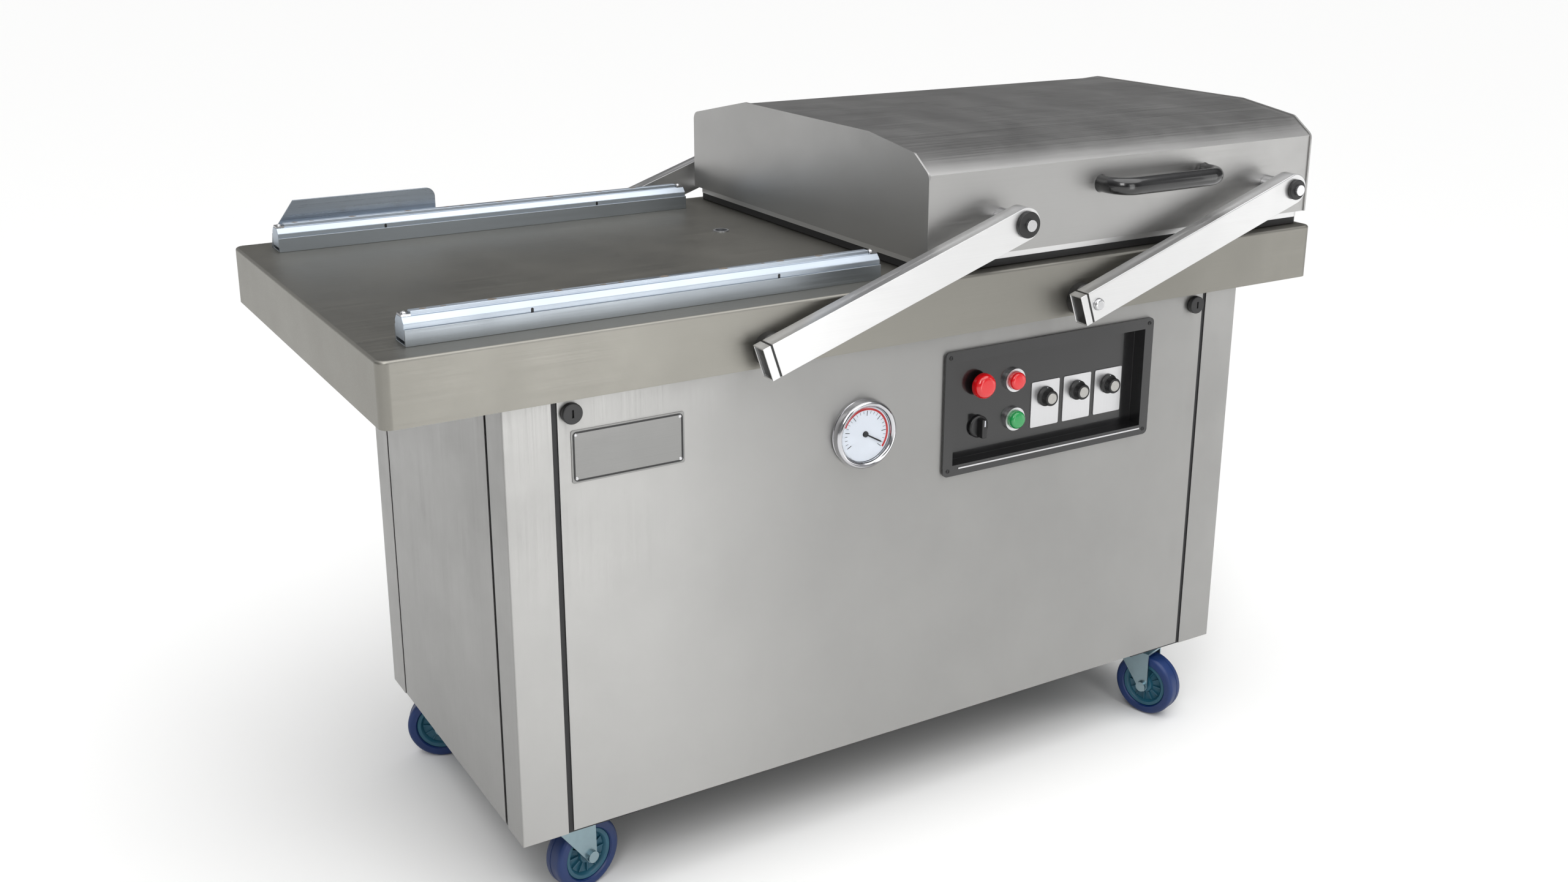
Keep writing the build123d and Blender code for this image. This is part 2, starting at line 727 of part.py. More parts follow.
def make_arm(side):
    """One front arm: its tube with the rounded upper end, and the end collar beyond the black band."""
    y0, y1 = -ARM_OUT, -ARM_IN
    h, w = ARM_H / 2, ARM_WALL
    tube = block(-TUBE_TAIL, ARM_LENGTH, y0, y1, -h, h) + rod_y(y0, y1, ARM_LENGTH, 0, h)
    tube -= block(-TUBE_TAIL, ARM_LENGTH - ARM_SOLID_END, y0 + w, y1 - w, -h + w, h - w)
    upper_r = BOLT_R + (RUNNING if side == "left" else OPEN_PIVOT_CLEARANCE)
    tube -= rod_y(y0 - CUT, y1 + CUT, ARM_LENGTH, 0, upper_r)
    tube -= rod_y(y0 - CUT if side == "right" else y0 + w, y1 + CUT, 0, 0, SPIGOT_R)
    c0, c1 = -TUBE_TAIL - BAND_T - COLLAR_T, -TUBE_TAIL - BAND_T
    collar = block(c0, c1, y0, y1, -h, h) - block(c0, c1, y0 + w, y1 - w, -h + w, h - w)
    return [place_on_arm(tube, side), place_on_arm(collar, side)]


def make_arm_caps(side):
    """The black plug that closes an arm's lower end, with its band between tube and collar."""
    y0, y1 = -ARM_OUT, -ARM_IN
    h, w, i = ARM_H / 2, ARM_WALL, BAND_INSET
    b0, b1 = -TUBE_TAIL - BAND_T, -TUBE_TAIL
    band = block(b0, b1, y0 + i, y1 - i, -h + i, h - i)
    plug = block(b0 - COLLAR_T + PLUG_DEPTH, b0, y0 + w, y1 - w, -h + w, h - w)
    cap = place_on_arm(band + plug, side)
    return [cap, mirror_y(cap)]


def make_shaft(side):
    """A pivot shaft through the table, with its spigots in the two arms and its spring crank."""
    x, z = PIVOT_X[side], PIVOT_Z
    shaft = rod_y(-ARM_IN, ARM_IN, x, z, SHAFT_R)
    reach = ARM_OUT - ARM_WALL if side == "left" else ARM_OUT
    shaft += rod_y(-reach, reach, x, z, SPIGOT_R)
    if side == "right":
        for end in (-1, 1):
            head = rod_y(*sorted((end * ARM_OUT, end * (ARM_OUT + SPIGOT_HEAD_T))), x, z, SPIGOT_HEAD_R)
            rim = head.edges().sort_by(lambda e: -abs(e.center().Y))[0]
            shaft += fillet(rim, 3)
    y0, y1 = SPRING_Y - CRANK_HALF_T, SPRING_Y + CRANK_HALF_T
    ring = rod_y(y0, y1, 0, 0, CRANK_RING_R)
    lever = block(-CRANK, 0, y0, y1, -CRANK_HALF_W, CRANK_HALF_W) + rod_y(y0, y1, -CRANK, 0, CRANK_HALF_W)
    pin = rod_y(y0 - SPRING_PIN_L, y0, -CRANK, 0, SPRING_PIN_R)
    return shaft + place_on_arm(ring + lever + pin, side)


def make_bushes():
    """Flanged bushes for the two shafts, in the front and the rear skirt."""
    bushes = []
    for x in PIVOT_X.values():
        flange = rod_y(-ARM_IN + 0.5, FRONT, x, PIVOT_Z, BUSH_FLANGE_R)
        flange = fillet(flange.edges().sort_by(Axis.Y)[0], 3)
        sleeve = rod_y(FRONT, FRONT + BUSH_L, x, PIVOT_Z, BUSH_R)
        bush = flange + sleeve - rod_y(-ARM_IN, FRONT + BUSH_L + CUT, x, PIVOT_Z, SHAFT_R + RUNNING)
        bushes += [bush, mirror_y(bush)]
    return bushes


def make_pivot_bolts():
    """The bolts that carry the lid on its arms, each with a spacer, and the black washers outside."""
    bolts, washers = [], []
    outside = ARM_OUT + GAP
    under_head = outside + WASHER_T
    for side in PIVOT_X:
        x, z = PIVOT_X[side] + ARM_REACH, PIVOT_Z + ARM_RISE
        for end in (-1, 1):
            wall = -LID_FRONT if end < 0 else LID_BACK
            inside = wall - LID_SHEET
            spacer = tube_y(*sorted((end * wall, end * (ARM_IN - GAP))), x, z, SPACER_R, BOLT_R)
            bolt = rod_y(*sorted((end * (wall - BOLT_INSIDE), end * under_head)), x, z, BOLT_R)
            head = rod_y(*sorted((end * under_head, end * (under_head + BOLT_HEAD_T))), x, z, BOLT_HEAD_R)
            nut = rod_y(*sorted((end * inside, end * (inside - NUT_T))), x, z, NUT_R)
            bolts.append(bolt + spacer + head + nut)
            washers.append(tube_y(*sorted((end * outside, end * under_head)), x, z, WASHER_R[side], BOLT_R))
    return bolts, washers


# Seal bars


def make_bar(side, end):
    """One seal bar: a bevelled body with the raised heating ridge."""
    x0, x1 = (BAR_X0, BAR_X1) if side > 0 else (-BAR_X1, -BAR_X0)
    y = end * BAR_Y
    w, top = BAR_W / 2, BAR_W / 2 - BAR_BEVEL
    section = [
        (y - w, BAR_BOTTOM), (y + w, BAR_BOTTOM), (y + w, BAR_SHOULDER), (y + top, BAR_FLAT),
        (y - top, BAR_FLAT), (y - w, BAR_SHOULDER),
    ]
    ridge = block(
        x0 + RIDGE_INSET, x1 - RIDGE_INSET, y - RIDGE_W / 2, y + RIDGE_W / 2, BAR_FLAT - CUT, BAR_TOP
    )
    return slab_x(section, x0, x1) + ridge


def make_channels():
    """The channels on the table that hold the seal bars, and the flat air bags under the bars."""
    channels, bags = [], []
    outer, inner, t = CHANNEL_W / 2, BAR_W / 2 + CHANNEL_SLACK, CHANNEL_WALL
    for side in (-1, 1):
        x0, x1 = (BAR_X0, BAR_X1) if side > 0 else (-BAR_X1, -BAR_X0)
        for end in (-1, 1):
            y = end * BAR_Y
            channel = block(x0, x1, y - outer, y + outer, TABLE_TOP, CHANNEL_TOP)
            channel -= block(x0, x1, y - inner, y + inner, TABLE_TOP + t, CHANNEL_TOP)
            channels.append(channel)
            bags.append(block(
                x0 + BAG_INSET, x1 - BAG_INSET, y - BAG_W / 2, y + BAG_W / 2, TABLE_TOP + t, BAR_BOTTOM - GAP
            ))
    return channels, bags


def make_bag_stop():
    """A low upright plate behind the left rear bar. Its left end slopes so that the lid clears it."""
    x0, x1 = STOP_X0 + STOP_FOOT_INSET, STOP_X1 - STOP_FOOT_INSET
    foot = block(x0, x1, STOP_Y, STOP_Y + STOP_T + 1, TABLE_TOP, TABLE_TOP + STOP_T)
    outline = [
        (STOP_X0, TABLE_TOP), (STOP_X1, TABLE_TOP), (STOP_X1, STOP_TOP), (STOP_X0 + 34, STOP_TOP),
        (STOP_X0 + 2, STOP_FOLD_Z),
    ]
    plate = slab_y(outline, STOP_Y, STOP_Y + STOP_T)
    corner = plate.edges().filter_by(Axis.Y).sort_by(lambda e: -e.center().X - e.center().Z)[0]
    return fillet(corner, STOP_CORNER_R) + foot


# Works inside the cabinet


def make_pump():
    """A rotary vane pump block with its oil box, on two feet."""
    x, y, half = PUMP_X, PUMP_Y, PUMP_HALF
    low, high = FLOOR + PUMP_FOOT, FLOOR + PUMP_FOOT + PUMP_H
    body = block(x - half, x + half, y - half, y + half, low, high)
    body = fillet(body.edges().filter_by(Axis.X), 12)
    w = OIL_BOX_HALF_W
    oil_box = block(x - half - OIL_BOX_L, x - half, y - w, y + w, low + PUMP_FOOT, high + 2 * PUMP_FOOT)
    pump = body + fillet(oil_box.edges().filter_by(Axis.Y), 16)
    for foot in (x - 70, x + 40):
        pump += block(foot, foot + 30, y - 80, y + 80, FLOOR, low + 2)
    pump += rod_z(high, INLET_TOP, INLET_X, y, INLET_R)
    reach = half + PUMP_FIN_PROUD
    for i in range(PUMP_FINS):
        x0 = x - 60 + i * PUMP_FIN_PITCH
        pump += block(x0, x0 + PUMP_FIN_T, y - reach, y + reach, low + 30, high - 20)
    return pump


def make_motor():
    """The motor's finned frame with its shaft stub, its vented fan cowl, and its two feet."""
    y, z = PUMP_Y, MOTOR_Z
    axis = Axis((0, y, z), (1, 0, 0))
    frame = rod_x(MOTOR_X0, MOTOR_X1, y, z, MOTOR_R)
    inset_x, half = MOTOR_FIN_INSET, MOTOR_FIN_T / 2
    fin = block(
        MOTOR_X0 + inset_x, MOTOR_X1 - inset_x, y - half, y + half, z + MOTOR_R - 2, z + MOTOR_R + MOTOR_FIN_H
    )
    for i in range(MOTOR_FINS):
        frame += fin.rotate(axis, i * 360 / MOTOR_FINS)
    frame += rod_x(MOTOR_X1, MOTOR_X1 + STUB_L, y, z, FAN_BORE_R - RUNNING)
    wall = COWL_WALL
    cowl = rod_x(MOTOR_X1, COWL_X1, y, z, COWL_R)
    cowl -= rod_x(MOTOR_X1 + wall, COWL_X1 - wall, y, z, COWL_R - wall)
    cowl -= rod_x(MOTOR_X1 - CUT, MOTOR_X1 + wall + CUT, y, z, FAN_BORE_R + CUT)
    vent = rod_x(COWL_X1 - wall - CUT, COWL_X1 + CUT, y + VENT_CIRCLE_R, z, VENT_R)
    for i in range(COWL_VENTS):
        cowl -= vent.rotate(axis, i * 360 / COWL_VENTS)
    w = MOTOR_FOOT_HALF_W
    feet = []
    for x in (MOTOR_X0 + MOTOR_FOOT_L, MOTOR_X1 - 2 * MOTOR_FOOT_L):
        feet.append(block(x, x + MOTOR_FOOT_L, y - w, y + w, FLOOR, z - MOTOR_R + 12) - frame)
    return [frame, cowl] + feet


def make_fan():
    y, z = PUMP_Y, MOTOR_Z
    x0, x1 = FAN_X0, FAN_X0 + FAN_L
    fan = rod_x(x0, x1, y, z, FAN_HUB_R)
    blade = block(x0, x1, y - BLADE_T / 2, y + BLADE_T / 2, z + FAN_HUB_R - 3, z + FAN_R)
    for i in range(FAN_BLADES):
        fan += blade.rotate(Axis((0, y, z), (1, 0, 0)), i * 360 / FAN_BLADES)
    return fan - rod_x(x0 - CUT, x1 + CUT, y, z, FAN_BORE_R)


def make_pipes():
    """The manifold with a riser to each chamber's port, and the hose down to the pump."""
    half_l, half_w, top = MANIFOLD_HALF_L, MANIFOLD_HALF_W, MANIFOLD_Z + MANIFOLD_H
    manifold = block(-half_l, half_l, VALVE_Y - half_w, VALVE_Y + half_w, MANIFOLD_Z, top)
    for x, y in PORTS:
        riser_top = TABLE_TOP + RISER_PROUD
        bore = rod_z(MANIFOLD_Z + RISER_WALL_Z, riser_top + CUT, x, y, PORT_R - PORT_WALL)
        manifold += rod_z(top, riser_top, x, y, PORT_R) - bore
    path = FilletPolyline(
        (0, VALVE_Y, MANIFOLD_Z), (0, VALVE_Y, HOSE_Z),
        (INLET_X, PUMP_Y, HOSE_Z), (INLET_X, PUMP_Y, INLET_TOP), radius=HOSE_BEND_R,
    )
    start = Plane(origin=path @ 0, z_dir=path % 0)
    return [manifold, sweep(start * Circle(HOSE_R), path=path)]


def make_valves():
    """Solenoid valves on the front of the manifold."""
    valves = []
    y1 = VALVE_Y - MANIFOLD_HALF_W
    y0 = y1 - VALVE_L
    low, high = MANIFOLD_Z + 6, MANIFOLD_Z + MANIFOLD_H - 6
    for x in VALVE_X:
        body = block(x - VALVE_HALF_W, x + VALVE_HALF_W, y0, y1, low, high)
        valves.append(body + rod_y(y0 - COIL_L, y0, x, (low + high) / 2, COIL_R))
    return valves


def make_electrics():
    """A folded tray with the sealing transformer and two contactors."""
    (x0, x1), (y0, y1), t = TRAY_X, TRAY_Y, TRAY_T
    tray = block(x0, x1, y0, y1, FLOOR, FLOOR + t) + block(x0, x1, y1 - t, y1, FLOOR, FLOOR + TRAY_H)
    cx, cy = x0 + 20, y0 + 25
    core = block(cx, cx + CORE_L, cy, cy + CORE_W, FLOOR + t, FLOOR + t + CORE_H)
    coil = block(cx + 15, cx + CORE_L - 15, cy - 15, cy + CORE_W + 15, FLOOR + 20, FLOOR + 74)
    coil = fillet(coil.edges().filter_by(Axis.X), 10)
    pieces = [tray, core + coil]
    for x in CONTACTOR_X:
        pieces.append(block(x, x + CONTACTOR_L, y1 - t - CONTACTOR_D, y1 - t, *CONTACTOR_Z))
    return pieces


def make_spring(side):
    """A balance spring from a crank pin down to the frame's pin."""
    x, z = PIVOT_X[side], PIVOT_Z
    a = math.radians(ARM_ANGLE)
    across, up = CRANK * math.cos(a), z - CRANK * math.sin(a) - SPRING_ANCHOR_Z
    length = math.hypot(across, up)
    lean = math.degrees(math.atan2(across, up))
    wire = SPRING_WIRE_R
    low = (length - SPRING_COIL_L) / 2
    eye_r = SPRING_PIN_R + wire + 0.5
    helix = Helix(pitch=SPRING_COIL_L / SPRING_TURNS, height=SPRING_COIL_L, radius=SPRING_R)
    start = Plane(origin=helix @ 0, z_dir=helix % 0)
    coil = Pos(0, 0, low) * sweep(start * Circle(wire), path=helix)
    hook = rod_z(eye_r - 0.5, low + 1, 0, 0, wire) + rod_x(-1, SPRING_R, 0, low + 1, wire)
    lower = Rot(90, 0, 0) * Torus(eye_r, wire) + hook
    upper = Pos(0, 0, length) * Rot(180, 0, 0) * lower
    return Pos(x, SPRING_Y - SPRING_OFFSET, SPRING_ANCHOR_Z) * Rot(0, -lean, 0) * (lower + upper + coil)


def make_gland():
    """The mains cable's gland: a hexagon outside, a thread through the panel and a nut inside."""
    x, z = GLAND_AT
    backward = Rot(-90, 0, 0)
    hexagon = Pos(x, CAB_BACK, z) * backward * extrude(RegularPolygon(GLAND_HEX_R, 6), amount=GLAND_HEX_L)
    dome_y = CAB_BACK + GLAND_HEX_L
    dome = rod_y(dome_y, dome_y + GLAND_DOME_L, x, z, GLAND_DOME_R)
    thread_y = CAB_BACK - GLAND_THREAD_L
    thread = rod_y(thread_y, CAB_BACK, x, z, GLAND_BODY_R)
    nut = extrude(RegularPolygon(GLAND_HEX_R, 6), amount=GLAND_NUT_L)
    nut = Pos(x, CAB_BACK - GLAND_NUT_Y, z) * backward * nut
    bore = rod_y(thread_y - CUT, dome_y + GLAND_DOME_L + CUT, x, z, GLAND_BORE_R)
    return hexagon + dome + thread + nut - bore


# Casters

def at_caster(shape, name):
    x, y, heading = CASTERS[name]
    return Pos(x, y, 0) * Rot(0, 0, heading) * shape


def make_caster_plate(name):
    """The plate under the frame's gusset, with the upper race and the headed kingpin."""
    x, y, _ = CASTERS[name]
    low = CAB_BOTTOM - CASTER_PLATE_T
    plate = block(-PLATE_HALF_L, PLATE_HALF_L, -PLATE_HALF_W, PLATE_HALF_W, low, CAB_BOTTOM)
    plate = fillet(upright_edges(plate), CASTER_PLATE_R)
    race_bottom = FORK_TOP + FORK_TOP_T + FORK_RACE_T + GAP
    race = rod_z(race_bottom, low, 0, 0, PLATE_RACE_R)
    head_top = FORK_TOP - 0.5
    pin = rod_z(head_top - 1, race_bottom + 1, 0, 0, PIN_R)
    pin += rod_z(head_top - PIN_HEAD_T, head_top, 0, 0, PIN_HEAD_R)
    return Pos(x, y, 0) * (plate + race + pin)


def make_fork(name):
    """A swivelling fork: a pressed top, a lower race and two legs that carry the axle bolt."""
    half = WHEEL_W / 2 + FORK_GAP
    outer = half + FORK_T
    top_z = FORK_TOP + FORK_TOP_T
    fork = block(FORK_FRONT, FORK_BACK, -outer, outer, FORK_TOP, top_z)
    fork += rod_z(top_z, top_z + FORK_RACE_T, 0, 0, FORK_RACE_R)
    leg = [
        (FORK_FRONT, top_z), (FORK_BACK, top_z), (TRAIL + 9, WHEEL_R - 2), (TRAIL + 4, WHEEL_R - 9),
        (TRAIL - 4, WHEEL_R - 9), (TRAIL - 10, WHEEL_R),
    ]
    for y0 in (-outer, half):
        fork += slab_y(leg, y0, y0 + FORK_T)
    fork -= rod_z(FORK_TOP - CUT, top_z + FORK_RACE_T + CUT, 0, 0, PIN_R + RUNNING)
    axle = rod_y(-outer - CUT, outer + CUT, TRAIL, WHEEL_R, AXLE_R)
    head = rod_y(-outer - AXLE_HEAD_T, -outer, TRAIL, WHEEL_R, AXLE_HEAD_R)
    nut = rod_y(outer, outer + AXLE_HEAD_T + 1, TRAIL, WHEEL_R, AXLE_HEAD_R)
    return at_caster(fork + axle + head + nut, name)


def make_wheel(name):
    """A caster wheel: a dished hub with a bore for the axle, and the tyre round it."""
    w = WHEEL_W / 2
    hub = rod_y(-w, w, TRAIL, WHEEL_R, HUB_R) - rod_y(-w - CUT, w + CUT, TRAIL, WHEEL_R, AXLE_R + RUNNING)
    inner, outer = HUB_DISH
    for y0, y1 in ((-w, -w + HUB_DISH_DEPTH), (w - HUB_DISH_DEPTH, w)):
        hub -= tube_y(y0, y1, TRAIL, WHEEL_R, outer, inner)
    tyre = rod_y(-w, w, TRAIL, WHEEL_R, WHEEL_R)
    tyre = fillet(tyre.edges().filter_by(GeomType.CIRCLE), TYRE_EDGE_R)
    tyre -= rod_y(-w - CUT, w + CUT, TRAIL, WHEEL_R, HUB_R)
    return [at_caster(hub, name), at_caster(tyre, name)]


def main():
    os.makedirs("parts", exist_ok=True)

    save("deck_plate", make_deck())
    save("corner_posts", [make_corner_post(s, e) for s in (-1, 1) for e in (-1, 1)])
    save("base_frame", [make_base_frame(), make_floor_pan()])
    save("front_panel", make_front_panel())
    save("rear_panel", make_rear_panel())
    save("side_panels", make_side_panels())
    save("lock_left", make_lock(-LOCK_X))
    save("lock_right", make_lock(LOCK_X))

    save("control_box", make_control_box())
    save("control_trim", make_control_trim())
    save("emergency_stop", make_estop())
    save("stop_button", make_push_button(STOP_AT))
    save("start_button", make_push_button(START_AT))
    save("selector_knob", make_selector())
    for i, x in enumerate(TIMER_X):
        save(f"timer_knob_{i + 1}", make_timer_knob(x))
    gauge_case, gauge_glass, gauge_needle = make_gauge()
    save("gauge_case", gauge_case)
    save("gauge_glass", gauge_glass)
    save("gauge_needle", gauge_needle)
    save("nameplate", make_nameplate())

    save("lid_shell", make_lid())
    save("lid_gasket", make_gasket())
    save("lid_handle", make_handle())
    strips, holders = make_pads()
    save("lid_pads", strips)
    save("lid_pad_holders", holders)
    bolts, washers = make_pivot_bolts()
    save("lid_pivot_bolts", bolts)
    save("lid_pivot_washers", washers)

    for side in PIVOT_X:
        front_arm = make_arm(side)
        save(f"arm_front_{side}", front_arm)
        save(f"arm_rear_{side}", [mirror_y(s) for s in front_arm])
        save(f"arm_caps_{side}", make_arm_caps(side))
        save(f"pivot_shaft_{side}", make_shaft(side))
    save("shaft_bushes", make_bushes())
    save("balance_springs", [make_spring("left"), make_spring("right")])

    for side, side_name in ((-1, "left"), (1, "right")):
        for end, end_name in ((-1, "front"), (1, "rear")):
            save(f"seal_bar_{side_name}_{end_name}", make_bar(side, end))
    channels, bags = make_channels()
    save("seal_bar_channels", channels)
    save("air_bags", bags)
    save("bag_stop_plate", make_bag_stop())

    save("vacuum_pump", make_pump())
    save("pump_motor", make_motor())
    save("pump_fan", make_fan())
    save("vacuum_manifold", make_pipes() + make_valves())
    save("electrics_tray", make_electrics())
    save("cable_gland", make_gland())

    save("caster_plates", [make_caster_plate(name) for name in CASTERS])
    for name in CASTERS:
        save(f"caster_fork_{name}", make_fork(name))
        save(f"caster_wheel_{name}", make_wheel(name))


main()
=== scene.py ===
import bpy
import bmesh
import json
import math
from mathutils import Matrix, Vector


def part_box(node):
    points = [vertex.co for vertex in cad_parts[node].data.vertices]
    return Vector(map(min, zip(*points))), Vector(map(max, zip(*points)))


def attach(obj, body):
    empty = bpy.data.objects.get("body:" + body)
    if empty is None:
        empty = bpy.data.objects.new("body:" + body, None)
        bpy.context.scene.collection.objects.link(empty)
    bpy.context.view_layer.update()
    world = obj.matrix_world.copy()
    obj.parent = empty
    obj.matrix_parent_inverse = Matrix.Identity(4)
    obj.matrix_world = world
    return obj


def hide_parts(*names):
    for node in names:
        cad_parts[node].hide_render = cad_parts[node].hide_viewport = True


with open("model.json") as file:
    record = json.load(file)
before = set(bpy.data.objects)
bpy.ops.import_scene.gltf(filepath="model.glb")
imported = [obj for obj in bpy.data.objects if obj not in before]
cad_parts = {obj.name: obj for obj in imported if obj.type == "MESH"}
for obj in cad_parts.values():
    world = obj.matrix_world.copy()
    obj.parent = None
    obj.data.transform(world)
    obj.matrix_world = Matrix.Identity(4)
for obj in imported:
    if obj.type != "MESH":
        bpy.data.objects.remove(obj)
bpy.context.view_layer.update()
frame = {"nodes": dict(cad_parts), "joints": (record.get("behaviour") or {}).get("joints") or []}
nodes = frame["nodes"]
print("frame loaded:", len(nodes), "nodes")


# small helpers for node trees

def newMaterial(name):
    material = bpy.data.materials.new(name)
    material.use_nodes = True
    tree = material.node_tree
    shader = tree.nodes["Principled BSDF"]
    return material, tree, shader


def noiseOf(tree, stretch, detail=4, roughness=0.55):
    coords = tree.nodes.new("ShaderNodeTexCoord")
    mapping = tree.nodes.new("ShaderNodeMapping")
    mapping.inputs["Scale"].default_value = stretch
    noise = tree.nodes.new("ShaderNodeTexNoise")
    noise.inputs["Scale"].default_value = 1
    noise.inputs["Detail"].default_value = detail
    noise.inputs["Roughness"].default_value = roughness
    tree.links.new(coords.outputs["Object"], mapping.inputs["Vector"])
    tree.links.new(mapping.outputs["Vector"], noise.inputs["Vector"])
    return noise.outputs["Fac"]


def rampOf(tree, source, low, high, dark, light):
    ramp = tree.nodes.new("ShaderNodeValToRGB")
    ramp.color_ramp.elements[0].position = low
    ramp.color_ramp.elements[1].position = high
    ramp.color_ramp.elements[0].color = (*dark, 1)
    ramp.color_ramp.elements[1].color = (*light, 1)
    tree.links.new(source, ramp.inputs["Fac"])
    return ramp.outputs["Color"]


def mixOf(tree, mode, amount, a, b):
    mix = tree.nodes.new("ShaderNodeMix")
    mix.data_type = "RGBA"
    mix.blend_type = mode
    mix.inputs["Factor"].default_value = amount
    tree.links.new(a, mix.inputs["A"])
    tree.links.new(b, mix.inputs["B"])
    return mix.outputs["Result"]


def rangeOf(tree, source, low, high):
    span = tree.nodes.new("ShaderNodeMapRange")
    span.inputs["From Min"].default_value = 0.3
    span.inputs["From Max"].default_value = 0.7
    span.inputs["To Min"].default_value = low
    span.inputs["To Max"].default_value = high
    tree.links.new(source, span.inputs["Value"])
    return span.outputs["Result"]


def bumpOf(tree, source, distance, strength):
    bump = tree.nodes.new("ShaderNodeBump")
    bump.inputs["Distance"].default_value = distance
    bump.inputs["Strength"].default_value = strength
    tree.links.new(source, bump.inputs["Height"])
    return bump.outputs["Normal"]


def scaled(colour, factor):
    return tuple(min(1.0, c * factor) for c in colour)


# metals: a long fine grain, slow tone changes and handling smudges

def metal(name, colour, rough, grain=(6, 900, 900), depth=0.25, tone=0.08, smudge=0.06,
          brushed=0.0, turn=0.0):
    material, tree, shader = newMaterial(name)
    fine = noiseOf(tree, grain, detail=3)
    slow = noiseOf(tree, (2.2, 2.6, 2.4), detail=2)
    marks = noiseOf(tree, (9, 7, 8), detail=6, roughness=0.65)
    grainColour = rampOf(tree, fine, 0.3, 0.7, scaled(colour, 1 - tone * 0.6), scaled(colour, 1 + tone * 0.5))
    slowColour = rampOf(tree, slow, 0.3, 0.7, scaled(colour, 1 - tone), scaled(colour, 1 + tone * 0.7))
    tree.links.new(mixOf(tree, "MIX", 0.5, grainColour, slowColour), shader.inputs["Base Color"])
    both = tree.nodes.new("ShaderNodeMath")
    both.operation = "ADD"
    tree.links.new(rangeOf(tree, fine, rough - 0.05, rough + 0.05), both.inputs[0])
    tree.links.new(rangeOf(tree, marks, -smudge * 0.3, smudge), both.inputs[1])
    tree.links.new(both.outputs[0], shader.inputs["Roughness"])
    tree.links.new(bumpOf(tree, fine, 0.0002, depth), shader.inputs["Normal"])
    shader.inputs["Metallic"].default_value = 1.0
    shader.inputs["Anisotropic"].default_value = brushed
    shader.inputs["Anisotropic Rotation"].default_value = turn
    return material


# plastics, rubber and paint: fine moulded texture with dust and rubbed patches

def moulded(name, colour, rough, texture=1500, depth=0.15, tone=0.12, coat=0.0, metallic=0.0):
    material, tree, shader = newMaterial(name)
    fine = noiseOf(tree, (texture, texture, texture), detail=2)
    slow = noiseOf(tree, (18, 16, 17), detail=5, roughness=0.6)
    tree.links.new(
        rampOf(tree, slow, 0.3, 0.72, scaled(colour, 1 - tone), scaled(colour, 1 + tone)),
        shader.inputs["Base Color"]
    )
    tree.links.new(rangeOf(tree, slow, max(0.02, rough - 0.05), rough + 0.07), shader.inputs["Roughness"])
    tree.links.new(bumpOf(tree, fine, 0.0002, depth), shader.inputs["Normal"])
    shader.inputs["Metallic"].default_value = metallic
    shader.inputs["Coat Weight"].default_value = coat
    shader.inputs["Coat Roughness"].default_value = 0.05
    return material


